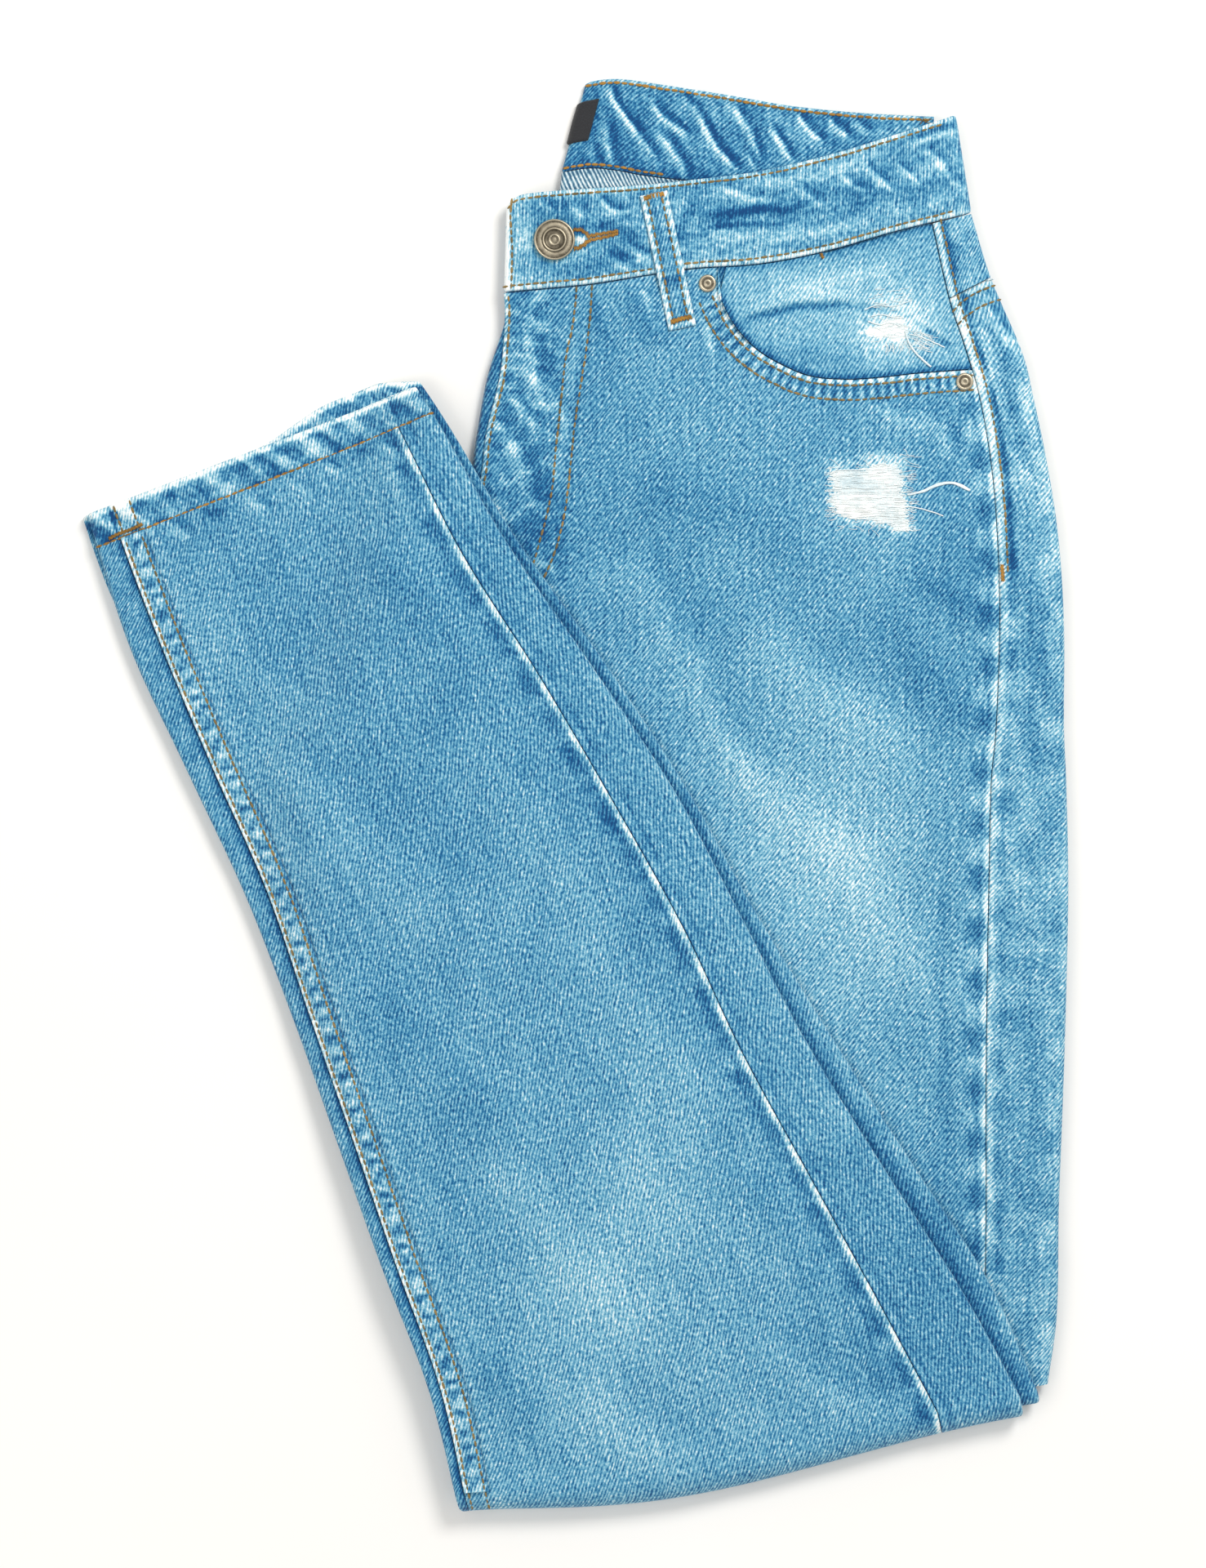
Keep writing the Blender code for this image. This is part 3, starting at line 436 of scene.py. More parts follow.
def roll(distance, radius):
    # How far the surface drops towards an edge that rolls over
    near = np.clip(1 - distance / radius, 0, 1)
    return radius * (1 - np.sqrt(1 - near * near))


def addCloth(name, grid, uv, thickness, finish, ring=False, lift=0.0, rim=None, wearAndShade=None):
    # A thin closed shell: the grid raised by lift, the same grid moved in, and its rims.
    # The rim is the distance to a free edge, where the cloth rolls over.
    normal = outward(grid, ring)
    shape = grid.shape[:2]
    lift = np.clip(np.broadcast_to(lift, shape), -0.6 * thickness, 1.6)
    if rim is not None:
        lift = lift - roll(rim, thickness * 0.62)
    outer = grid + normal * lift[..., None]
    inner = grid - normal * thickness
    rows, columns = shape
    count = rows * columns
    points = np.concatenate((outer.reshape(-1, 3), inner.reshape(-1, 3)))
    index = np.arange(count).reshape(shape)
    faces = [gridFaces(rows, columns, ring), gridFaces(rows, columns, ring, count, True)]
    faces.append(rimFaces(index[0] + count, index[0], ring)[:, ::-1])
    faces.append(rimFaces(index[-1], index[-1] + count, ring)[:, ::-1])
    if not ring:
        faces.append(rimFaces(index[:, 0], index[:, 0] + count, False)[:, ::-1])
        faces.append(rimFaces(index[:, -1] + count, index[:, -1], False)[:, ::-1])
    # The colour values carry wear and, in places, painted shade.
    values = {"pale": 0.0, "edge": far, "phase": 0.0, "pucker": 0.0, **(wearAndShade or {})}
    twice = {key: np.concatenate([np.broadcast_to(value, shape).ravel()] * 2)
             for key, value in values.items()}
    uv = np.concatenate([uv.reshape(-1, 2)] * 2)
    thing = buildMesh(name, points, np.concatenate(faces), finish, uv, twice)
    thing["cut"] = (float(pathLength(np.moveaxis(grid, 0, 1), ring)),
                    float(pathLength(grid, False)), float(gridArea(grid, ring)))
    return thing


def gridArea(grid, ring):
    if ring:
        grid = np.concatenate((grid, grid[:, :1]), axis=1)
    a, b = grid[:-1, :-1], grid[:-1, 1:]
    c, d = grid[1:, 1:], grid[1:, :-1]
    first = np.linalg.norm(np.cross(b - a, c - a), axis=2)
    second = np.linalg.norm(np.cross(c - a, d - a), axis=2)
    return 0.5 * (first.sum() + second.sum())


def pathLength(paths, ring):
    # Longest of the paths that run along the first axis
    steps = np.linalg.norm(np.diff(paths, axis=0), axis=2).sum(axis=0)
    if ring:
        steps += np.linalg.norm(paths[0] - paths[-1], axis=1)
    return steps.max()


# Shader maths: sockets that take part in sums, and one method for every other node


class Value:
    def __init__(self, graph, socket):
        self.graph, self.socket = graph, socket

    def __add__(self, other):
        return self.graph.math("ADD", self, other)

    def __sub__(self, other):
        return self.graph.math("SUBTRACT", self, other)

    def __rsub__(self, other):
        return self.graph.math("SUBTRACT", other, self)

    def __mul__(self, other):
        return self.graph.math("MULTIPLY", self, other)

    def __truediv__(self, other):
        return self.graph.math("DIVIDE", self, other)

    def __neg__(self):
        return self.graph.math("MULTIPLY", self, -1.0)

    __radd__ = __add__
    __rmul__ = __mul__

    def sine(self):
        return self.graph.math("SINE", self)

    def bell(self, middle, width):
        # 1 at the middle, falling off to both sides
        off = (self - middle) / width
        return self.graph.math("EXPONENT", -(off * off))

    def step(self, low, high):
        settings = {"interpolation_type": "SMOOTHSTEP"}
        inputs = {"Value": self, "From Min": low, "From Max": high}
        return self.graph.node("ShaderNodeMapRange", settings, inputs)["Result"]


class Graph:
    def __init__(self, name):
        self.material = bpy.data.materials.new(name)
        self.material.use_nodes = True
        self.tree = self.material.node_tree
        self.shader = self.tree.nodes["Principled BSDF"]

    def feed(self, socket, value):
        if isinstance(value, Value):
            self.tree.links.new(value.socket, socket)
        else:
            socket.default_value = value

    def node(self, kind, settings=None, inputs=None):
        made = self.tree.nodes.new(kind)
        for key, value in (settings or {}).items():
            setattr(made, key, value)
        for key, value in (inputs or {}).items():
            self.feed(made.inputs[key], value)
        return {socket.name: Value(self, socket) for socket in made.outputs if socket.enabled}

    def math(self, operation, *terms):
        inputs = dict(enumerate(terms))
        return self.node("ShaderNodeMath", {"operation": operation}, inputs)["Value"]

    def attribute(self, name):
        return self.node("ShaderNodeAttribute", {"attribute_name": name})["Fac"]

    def coordinates(self):
        # Millimetres across and along the cut
        vector = self.node("ShaderNodeUVMap", {"uv_map": "cloth"})["UV"]
        parts = self.node("ShaderNodeSeparateXYZ", None, {"Vector": vector})
        return parts["X"] * 1000.0, parts["Y"] * 1000.0

    def point(self, x, y, z):
        return self.node("ShaderNodeCombineXYZ", None, {"X": x, "Y": y, "Z": z})["Vector"]

    def noise(self, vector, scale=1.0, detail=2.0, rough=0.5):
        # Noise about zero, from -1 to 1
        inputs = {"Vector": vector, "Scale": scale, "Detail": detail, "Roughness": rough}
        return self.node("ShaderNodeTexNoise", None, inputs)["Fac"] * 2.0 - 1.0

    def ramp(self, value, stops):
        made = self.tree.nodes.new("ShaderNodeValToRGB")
        self.feed(made.inputs["Fac"], value)
        points = made.color_ramp.elements
        while len(points) < len(stops):
            points.new(0.5)
        for point, (place, colour) in zip(points, stops):
            point.position = place
            point.color = linear(colour)
        return Value(self, made.outputs["Color"])

    def mix(self, share, first, second):
        made = self.tree.nodes.new("ShaderNodeMix")
        made.data_type = "RGBA"
        for socket, value in zip((made.inputs[0], made.inputs[6], made.inputs[7]),
                                 (share, first, second)):
            self.feed(socket, value)
        return Value(self, made.outputs[2])

    def bump(self, height, strength, distance):
        inputs = {"Height": height, "Strength": strength, "Distance": distance * mm}
        return self.node("ShaderNodeBump", None, inputs)["Normal"]

    def finish(self, **inputs):
        for key, value in inputs.items():
            self.feed(self.shader.inputs[key.replace("_", " ")], value)
        return self.material


def linear(colour):
    share = [part / 255 for part in colour]
    return (*[part / 12.92 if part < 0.04 else ((part + 0.055) / 1.055) ** 2.4
              for part in share], 1.0)


# Denim. Dark to pale, as the indigo wears off the warp
indigo = ((0.0, (6, 66, 118)), (0.25, (28, 104, 152)), (0.5, (92, 159, 190)),
          (0.72, (154, 201, 217)), (0.88, (208, 229, 234)), (1.0, (242, 247, 246)))
weave = {"pitch": 1.36, "twill": 0.17, "speck": 0.70, "streak": 0.18, "cloud": 0.03,
         "groove": 0.22}


def denim(name, angle, tone, twill=1.0, speck=1.0, bars=0.22, worn=0.34, colours=indigo):
    # The angle is that of the twill lines, in degrees from the way across the cut
    g = Graph(name)
    x, y = g.coordinates()
    turn = math.radians(angle)
    across = x * math.sin(turn) - y * math.cos(turn)
    along = x * math.cos(turn) + y * math.sin(turn)
    loose = g.noise(g.point(across * 0.16, along * 0.05, 3.0), detail=1.0)
    line = ((across / weave["pitch"] + loose * 0.9) * (2 * math.pi)).sine()
    broken = g.noise(g.point(across * 0.95, along * 0.5, 7.0), detail=2.0, rough=0.6)
    grain = g.noise(g.point(x * 0.72, y * 0.6, 1.0), detail=3.0, rough=0.7)
    streak = g.noise(g.point(x * 0.75, y * 0.035, 5.0), detail=2.0)
    cloud = g.noise(g.point(x * 0.07, y * 0.05, 9.0), detail=3.0)
    edge = g.attribute("edge")
    pucker = g.attribute("pucker")
    phase = g.attribute("phase")
    rough = g.noise(g.point(x * 0.22, y * 0.22, 13.0), detail=2.0)
    bar = (phase * (2 * math.pi) + rough * 1.6).sine()
    ridge = edge.bell(0.8, 1.5) * (0.82 + rough * 0.5 + bar * pucker * 0.12)
    dark = edge.bell(3.4, 1.8) * (0.5 + bar * 0.5)
    near = 1.0 - edge.step(5.0, 11.0)
    value = (g.attribute("pale") + tone
             + line * (weave["twill"] * twill)
             + broken * (weave["speck"] * 0.75 * speck)
             + grain * (weave["speck"] * 0.7 * speck)
             + streak * weave["streak"] + cloud * weave["cloud"]
             + pucker * bar * near * bars
             + ridge * worn - dark * pucker * weave["groove"])
    height = line * 0.35 + broken * 0.5 + grain * 0.5 + pucker * bar * near * 1.2
    return g.finish(Base_Color=g.ramp(value, colours), Roughness=0.92,
                    Specular_IOR_Level=0.18, Sheen_Weight=0.18, Sheen_Roughness=0.55,
                    Normal=g.bump(height, 0.5, 0.22))


reverse = ((0.0, (52, 92, 122)), (0.3, (100, 142, 164)), (0.55, (166, 192, 202)),
           (0.8, (218, 228, 230)), (1.0, (248, 249, 246)))


def thread(name, dark, light, sheen=0.1):
    # Twisted sewing thread or a loose yarn
    g = Graph(name)
    place = g.node("ShaderNodeTexCoord")["Object"]
    grain = g.noise(place, scale=1400.0, detail=2.0)
    patchy = g.noise(place, scale=90.0, detail=1.0)
    share = (grain * 0.45 + patchy * 0.5 + 0.5).step(0.0, 1.0)
    return g.finish(Base_Color=g.mix(share, linear(dark), linear(light)), Roughness=0.75,
                    Specular_IOR_Level=0.25, Sheen_Weight=sheen,
                    Normal=g.bump(grain, 0.5, 0.1))


tan = thread("tan_thread", (82, 78, 56), (164, 134, 80))
orange = thread("orange_thread", (112, 82, 36), (192, 142, 62))
whiteYarn = thread("white_yarn", (206, 224, 230), (252, 253, 250), 0.2)


def agedMetal():
    # Antique nickel: dark in the hollows, rubbed bright on the rims
    g = Graph("antique_nickel")
    place = g.node("ShaderNodeTexCoord")["Object"]
    grime = g.noise(place, scale=420.0, detail=4.0, rough=0.65)
    fine = g.noise(place, scale=2600.0, detail=2.0)
    sharp = g.node("ShaderNodeNewGeometry")["Pointiness"].step(0.47, 0.56)
    share = (sharp * 0.8 + grime * 0.4 + 0.28).step(0.0, 1.0)
    colour = g.mix(share, linear((54, 48, 38)), linear((184, 174, 152)))
    return g.finish(Base_Color=colour, Metallic=0.85,
                    Roughness=(0.52 - share * 0.14 + fine * 0.06),
                    Normal=g.bump(grime * 0.6 + fine * 0.4, 0.35, 0.12))


def blackLabel():
    g = Graph("black_label")
    x, y = g.coordinates()
    warp = (x * (2 * math.pi / 0.5)).sine()
    weft = (y * (2 * math.pi / 0.34)).sine()
    dust = g.noise(g.point(x, y, 0.0), scale=1.6, detail=3.0)
    colour = g.mix((dust * 0.4 + warp * weft * 0.3 + 0.4).step(0.0, 1.0),
                   linear((16, 17, 20)), linear((46, 48, 54)))
    return g.finish(Base_Color=colour, Roughness=0.7, Sheen_Weight=0.1,
                    Normal=g.bump(warp + weft, 0.5, 0.08))


# Seams and edges: a line, how far apart its puckers lie, how strong they are


def resample(points, shares):
    points = np.asarray(points, dtype=float)
    keys = runAlong(points)
    at = np.asarray(shares) * keys[-1]
    return np.stack([np.interp(at, keys, points[:, k]) for k in range(points.shape[1])], axis=-1)


def lineLength(points):
    return float(np.linalg.norm(np.diff(points, axis=0), axis=1).sum())


def pixels(*pairs):
    # A smooth line in the tables' millimetres from pixels of the photograph
    x, y = toTable(*np.array(pairs, dtype=float).T)
    return curveThrough(np.stack((x, y), axis=1), step=1.0)


def seamWear(x, y, seams):
    # The nearest seam's distance, place along it and puckers, for the cloth's material
    place = np.stack((x, y), axis=-1)
    edge = np.full(x.shape, far)
    phase = np.zeros(x.shape)
    pucker = np.zeros(x.shape)
    for line, pitch, strength in seams:
        distance, run = nearest(place, line)[:2]
        closer = distance < edge
        edge = np.where(closer, distance, edge)
        phase = np.where(closer, run / pitch, phase)
        pucker = np.where(closer, strength, pucker)
    return {"edge": edge, "phase": phase, "pucker": pucker}


def stitchDents(x, y, rows):
    # Cloth pulled down under a row of stitches, puckered to both sides of it
    place = np.stack((x, y), axis=-1)
    lift = np.zeros(x.shape)
    pale = np.zeros(x.shape)
    for line, depth, pitch, strength in rows:
        distance, run = nearest(place, line)[:2]
        wave = np.sin(2 * math.pi * run / pitch + 2.2 * softNoise(x, y, 7, 21))
        near = bell(distance, 0, 2.6)
        lift -= depth * bell(distance, 0, 0.9)
        lift += 0.12 * wave * near * min(1.0, strength * 8)
        pale += strength * wave * near - 0.35 * strength * bell(distance, 0, 0.9)
    return lift, pale


def patch(top, bottom, left, right, u, v):
    u = np.asarray(u)[None, :, None]
    v = np.asarray(v)[:, None, None]
    level = top[None] * (1 - v) + bottom[None] * v
    leftPush = left[:, None] - (top[0] * (1 - v) + bottom[0] * v)
    rightPush = right[:, None] - (top[-1] * (1 - v) + bottom[-1] * v)
    return level + leftPush * (1 - u) + rightPush * u


def raised(plan, height):
    return np.concatenate((plan, np.full(plan.shape[:2] + (1,), height)), axis=2)


def sideSteps(length, step, fine=None, fineLength=0.0, rim=1.6):
    # Shares of a length with closer steps at the start and at both rims
    close = [0.0, 0.12 * rim, 0.4 * rim, rim]
    marks = list(close)
    if fine:
        marks += list(np.arange(rim + fine, fineLength, fine))
    start = marks[-1]
    marks += list(np.linspace(start, length - rim, max(2, int((length - start) / step)))[1:])
    marks += [length - value for value in reversed(close[:-1])]
    return np.array(marks) / length


dense = np.linspace(0, 1, 400)
legRightEdge = []
for station in np.linspace(0, 1, 40):
    row = {key: smooth(leg["station"], leg[key], station) for key in leg}
    across = unit(np.array((row["foldX"] - row["leftX"], row["foldY"] - row["leftY"])))
    legRightEdge.append(np.array((row["foldX"], row["foldY"])) + across * row["lowerOut"])
legRightEdge = np.array(legRightEdge)


def uncovered(x, y):
    # 1 on the body where no folded leg lies on it
    distance, side = nearest(np.stack((x, y), axis=-1), legRightEdge)[::2]
    return softStep((side * distance - 2) / 12)


def shiftedLine(line, push):
    return line + sideways(line) * push


def mouthLine(push):
    return shiftedLine(curveThrough(pocket["mouth"][1:], shares=dense), push)


flySeamA = pixels((706, 353), (702, 393), (692, 441), (687, 489), (681, 547), (675, 605),
                  (663, 655), (648, 706))
flySeamB = pixels((725, 351), (721, 404), (713, 459), (704, 517), (698, 576), (690, 635),
                  (678, 679), (664, 712))
bodySeam = alongTable(body, ("seamX", "seamY"), dense)
bodyLeft = alongTable(body, ("leftX", "leftY"), dense)

denimBody = denim("denim_body", 52, tone=0.45, bars=0.28)
denimBack = denim("denim_back", 47, tone=0.445, worn=0.16)
denimFacing = denim("denim_facing", 58, tone=0.52, twill=0.9, speck=0.8, worn=0.1)
# A darker copy of the denim for the hidden layers: painted shade.
shadedHiddenDenim = denim("denim_hidden_shaded", 60, tone=0.28)


ripOutline = pixels((1024, 577), (1020, 589), (1024, 602), (1019, 614), (1025, 625), (1034, 631),
                    (1046, 633), (1062, 633), (1078, 637), (1092, 642), (1104, 649), (1112, 648),
                    (1107, 630), (1109, 616), (1103, 600), (1104, 586), (1097, 571), (1082, 568),
                    (1066, 572), (1051, 582), (1036, 576), (1024, 577))


def insideOf(x, y, outline):
    # Distance in from an outline's edge, negative outside it
    place = np.stack((x, y), axis=-1)
    distance = nearest(place, outline)[0]
    count = np.zeros(x.shape, dtype=int)
    for (ax, ay), (bx, by) in zip(outline[:-1], outline[1:]):
        if ay != by:
            crosses = ((ay > y) != (by > y)) & (x < (bx - ax) * (y - ay) / (by - ay) + ax)
            count = count + crosses
    return np.where(count % 2 == 1, distance, -distance)


def ripWear(x, y):
    # The warp is gone inside the patch and broken up around it
    ragged = 0.9 * softNoise(x, y, 2.8, 33) + 0.7 * softNoise(x, y, 1.6, 34)
    inside = insideOf(x, y, ripOutline)
    above = softStep((y - ripOutline[0, 1]) / 6.0)
    fringe = softStep((inside + 4.0 + 2.5 * above + 2.2 * ragged) / 4.5)
    near = bell(np.minimum(inside, 0), 0, 9.0)
    return 0.5 * softStep((inside + ragged + 0.4) / 1.6) + 0.30 * fringe + 0.05 * near


def leftFront():
    # Left front panel, from the waistband down to the knee fold
    piece = {"fine": 1.25, "step": 2.5, "across": 1.75}
    below = alongTable(frontBand, ("lowX", "lowY"), np.linspace(0, 0.598, 120))
    below[:, 1] -= cloth["gap"] + 0.2
    top = np.concatenate((below, mouthLine(0.0)))
    left = bodyLeft.copy()
    share = pocket["mouthEnd"]
    right = alongTable(body, ("seamX", "seamY"), share + dense * (1 - share))
    right[:, 0] -= cloth["gap"]
    right[0], left[0] = top[-1], top[0]
    bottom = np.stack((left[-1], right[-1]))
    u = sideSteps(lineLength(top), piece["across"])
    v = sideSteps(lineLength(left), piece["step"], piece["fine"], 150.0)
    plan = patch(resample(top, u), resample(bottom, u), resample(left, v), resample(right, v),
                 u, v)
    grid = raised(plan, cloth["panelTop"])
    x, y = plan[..., 0], plan[..., 1]
    rise, pale = creaseField(x, y, frontCreases)
    dents = ((flySeamA, 0.3, 5.2, 0.11), (flySeamB, 0.3, 4.7, 0.11),
             (mouthLine(seamRows["mouth"]), 0.25, puckers["mouth"], 0.05),
             (mouthLine(seamRows["mouthInner"] - 0.2), 0.3, puckers["mouth"], 0.06))
    dent, dentPale = stitchDents(x, y, dents)
    soft = 0.35 * softNoise(x, y, 34, 31) + 0.15 * softNoise(x, y, 15, 32)
    open = uncovered(x, y)
    lift = (rise + dent + soft) * open + 0.1 * (1 - open) * soft
    flyEdge = left[left[:, 1] > 0]
    wearAndShade = seamWear(x, y, ((mouthLine(0.0), puckers["mouth"], 0.9),
                           (flyEdge, 6.0, 0.35), (right, 22.0, 0.75)))
    fly = softStep((-2.0 - x) / 10) * softStep((y - 60) / 30)
    net = bell(softNoise(x, y, 13, 36), 0, 0.13) + bell(softNoise(x, y, 7, 37), 0, 0.15)
    wearAndShade["pale"] = pale * (1 - 0.25 * fly) + fly * (0.22 * net - 0.16) + dentPale + fadeField(x, y)
    wearAndShade["pale"] += ripWear(x, y)
    rimPlace = np.concatenate((flyEdge[::-1], below, mouthLine(0.0)))
    rim = nearest(plan, rimPlace)[0]
    seam = nearest(plan, right)[0]
    lift -= 0.45 * bell(seam, 0, 1.1)
    return addCloth("left_front_panel", grid, plan, cloth["panel"], denimBody,
                    lift=lift, rim=rim, wearAndShade=wearAndShade)


def pocketFacing():
    # Panel inside the pocket mouth, worn through to its weft in one place
    piece = {"step": 0.85, "worn": (1096, 404)}
    bottom = mouthLine(cloth["gap"] + 0.15)
    top = alongTable(frontBand, ("lowX", "lowY"), 0.612 + dense * (0.94 - 0.612))
    top[:, 1] -= cloth["gap"] + 0.3
    top[-1] = (148.6, 238.6)
    left = np.stack((top[0], bottom[0]))
    right = alongTable(body, ("seamX", "seamY"), dense * (pocket["mouthEnd"] - 0.003))
    right[:, 0] -= cloth["gap"] + 0.2
    right[0] = top[-1]
    bottom[-1] = right[-1]
    u = sideSteps(lineLength(bottom), piece["step"] * 1.3)
    v = sideSteps(lineLength(right), piece["step"])
    plan = patch(resample(top, u), resample(bottom, u), resample(left, v), resample(right, v),
                 u, v)
    x, y = plan[..., 0], plan[..., 1]
    rise, pale = creaseField(x, y, facingCreases)
    soft = 0.25 * softNoise(x, y, 16, 41)
    down = nearest(plan, bottom)[0]
    # Painted shade along the mouth's edge and just under the waistband's lower edge.
    shade = -0.34 * bell(down, 0, 1.8) - 0.06 * bell(down, 0, 6.0)
    under = -0.22 * bell(nearest(plan, top)[0], 0, 2.6)
    wx, wy = toTable(*piece["worn"])
    ragged = 0.30 * softNoise(x, y, 2.2, 43) + 0.22 * softNoise(x, y, 1.1, 44)
    spread = np.hypot((x - wx) / 5.8, (y - wy) / 4.8)
    wing = np.hypot((x - wx + 7.0) / 6.0, (y - wy + 0.8) / 1.7)
    worn = softStep((1.2 - np.minimum(spread, wing) - ragged) / 0.6)
    around = np.hypot((x - wx - 1.0) / 11.0, (y - wy - 4.0) / 10.0)
    haze = 0.22 * softStep((1.9 - around - 2 * ragged) / 1.6)
    halo = np.exp(-((x - wx) / 17.0) ** 2 - ((y - wy) / 13.0) ** 2)
    wearAndShade = {"pale": pale + shade + under + fadeField(x, y) + 0.5 * worn + haze + 0.08 * halo}
    lift = rise + soft - 0.25 * worn
    return addCloth("pocket_facing_panel", raised(plan, cloth["panelUnder"] + cloth["facing"]),
                    plan, cloth["facing"], denimFacing, lift=lift, wearAndShade=wearAndShade)


def arc(middle, radius, start, end, count):
    angles = np.radians(np.linspace(start, end, count))
    return np.stack((middle[0] + radius * np.cos(angles), middle[1] + radius * np.sin(angles)),
                    axis=1)


def sideStrip(name, first, last, finish, drop, wearAndShadeAt):
    # Back panel from the outseam to the right fold, round it and back below
    top, low = cloth["panelTop"], cloth["lipLow"]
    radius, middle = (top - low) / 2, (top + low) / 2
    curve = alongTable(body, ("seamX", "seamY"), np.linspace(first, last, 200))
    length = lineLength(curve)
    v = sideSteps(length, 2.0, 1.3, min(length - 3, 120.0))
    shares = first + v * (last - first)
    seam = alongTable(body, ("seamX", "seamY"), shares)
    fold = alongTable(body, ("foldX", "foldY"), shares)
    seam[0, 1] -= drop
    fold[0, 1] -= drop
    flat = np.concatenate(([0.0, 0.2, 0.55, 1.0, 1.5, 2.1], np.linspace(2.9, 30.0, 24)))
    grid, uv = [], []
    for start, end in zip(seam, fold):
        width = np.linalg.norm(end - start)
        direction = (end - start) / width
        run = flat / 30.0 * (width - radius)
        path = np.stack((run, np.full(len(run), top)), axis=1)[:-1]
        path = np.concatenate((path, arc((width - radius, middle), radius, 90, -90, 14),
                               [(width - cloth["lipReach"], low)]))
        place = start + direction * path[:, :1]
        grid.append(np.concatenate((place, path[:, 1:]), axis=1))
        uv.append(np.stack((runAlong(path), np.full(len(path), start[1])), axis=1))
    grid, uv = np.array(grid), np.array(uv)
    x, y = grid[..., 0], grid[..., 1]
    lift, wearAndShade = wearAndShadeAt(x, y, uv)
    return addCloth(name, grid, uv, cloth["panel"], finish, lift=lift * topFacing(grid),
                    rim=np.where(uv[..., 0] < 6, uv[..., 0], 9.0), wearAndShade=wearAndShade)


def sideWearAndShade(x, y, uv):
    # A white ridge beside the outseam, puckered groove, worn fold, and the creases' painted shade
    rise, pale = creaseField(x, y, backCreases)
    run = uv[..., 1]
    wave = wavy(run, "outseam", 2 * softNoise(x, y, 12, 51))
    across = uv[..., 0]
    ridge = bell(across, 2.3, 2.0)
    groove = bell(across, 5.6, 1.5)
    fold = bell(across - uv[:, -16:-15, 0], 0, 5.0)
    above = softStep((run - 90) / 8)
    pale = pale + fadeField(x, y) + ridge * (0.10 + 0.16 * above + 0.08 * wave)
    pale += 0.05 + 0.06 * above + 0.09 * softNoise(x, y, 7, 54) + 0.05 * softNoise(x, y, 3, 56)
    pale += groove * (-0.30 * above - 0.06 + 0.06 * wave)
    pale += 0.05 * fold + 0.10 * fold * softNoise(x, y, 9, 52)
    soft = 0.3 * softNoise(x, y, 20, 53)
    lift = rise + soft + 0.25 * ridge * (1 + 0.5 * wave) - 0.35 * groove
    ridgeTop = bell(run[:1] - run, 0, 1.5)
    pale = pale + 0.3 * ridgeTop - 0.12 * bell(run[:1] - run, 6.0, 5.0)
    return lift, puckered(pale, across, run, "outseam", 0.25)


def yokeWearAndShade(x, y, uv):
    lift, wearAndShade = sideWearAndShade(x, y, uv)
    pale = creaseField(x, y, backCreases)[1]
    wearAndShade["pale"] = pale + 0.05 + 0.12 * softNoise(x, y, 5, 55)
    wearAndShade["pale"] += 0.2 * bell(uv[..., 0], 1.5, 1.2)
    wearAndShade["pale"] -= 0.3 * bell(uv[..., 0], 4.6, 1.6)
    return lift, wearAndShade


def hiddenLayers():
    # Right half of the jeans and the left back, as one form with two layers at its edges, in a
    # darker denim that is painted shade
    piece = {"step": 6.0, "columns": 90}
    keys = np.linspace(1, 13, int(500 / piece["step"])) / 13
    names = ("leftX", "leftY", "foldX", "foldY", "underOut")
    rows = alongTable(body, names, keys)
    start = np.array([[*hiddenTopRow.values(), -1.0]])
    blend = np.linspace(0, 1, 6)[:-1, None]
    rows = np.concatenate((start * (1 - blend) + rows[:1] * blend, rows))
    points = []
    for leftX, leftY, foldX, foldY, underOut in rows:
        width = math.hypot(foldX - leftX, foldY - leftY)
        direction = np.array((foldX - leftX, foldY - leftY)) / width
        a, b = -underOut, width - 1.5
        slot = b - cloth["lipReach"] - 1.0
        low, high = cloth["lowerTop"], cloth["hiddenTop"]
        top = ((a + 2.4, 3.5), (a + 1.0, 3.75), (a + 0.25, 4.4), (a, 5.2), (a + 0.3, 6.1),
               (a + 0.9, 6.6), (a + 1.8, high), (b - 3.2, high), (b - 2.7, 6.6),
               (b - 2.6, 6.1), (b - 3.0, 5.55), (slot, 5.55), (slot, 4.5))
        under = ((a + 2.4, 3.5), (a + 1.0, 3.2), (a + 0.3, 2.6), (a, 1.75), (a + 0.3, 0.8),
                 (a + 0.9, 0.3), (a + 1.8, 0.0), (b - 1.8, 0.0), (b - 0.8, 0.35),
                 (b - 0.2, 0.9), (b, 1.75), (b - 0.3, 2.7), (b - 1.0, 3.2), (b - 2.0, low),
                 (slot, low), (slot, 4.5))
        shares = np.linspace(0, 1, piece["columns"])
        loop = np.concatenate((resample(top, shares)[:-1], resample(under, shares)[:0:-1]))
        place = np.array((leftX, leftY)) + direction * loop[:, :1]
        points.append(np.concatenate((place, loop[:, 1:]), axis=1))
    grid = np.array(points)
    count, around = grid.shape[:2]
    faces = [gridFaces(count, around, True)]
    half = around // 2
    k = np.arange(1, half)
    mirror = (around - k) % around
    cap = np.stack((k[:-1], k[1:], mirror[1:], mirror[:-1]), axis=-1)
    faces.append(cap)
    faces.append(cap[:, ::-1] + (count - 1) * around)
    faces = [tuple(face) for face in np.concatenate(faces)]
    last = (count - 1) * around
    faces.append((0, 1, around - 1))
    faces.append((half - 1, half, half + 1))
    faces.append((last + around - 1, last + 1, last))
    faces.append((last + half + 1, last + half, last + half - 1))
    x, y = grid[..., 0].ravel(), grid[..., 1].ravel()
    wearAndShade = {"pale": 0.10 * softNoise(x, y, 9, 61), "edge": np.full(x.shape, far),
            "phase": x * 0, "pucker": x * 0}
    return buildMesh("hidden_layers", grid.reshape(-1, 3), faces, shadedHiddenDenim,
                     np.stack((x, y), axis=1), wearAndShade)


# Waistband, back band, yoke inside, label and belt loop

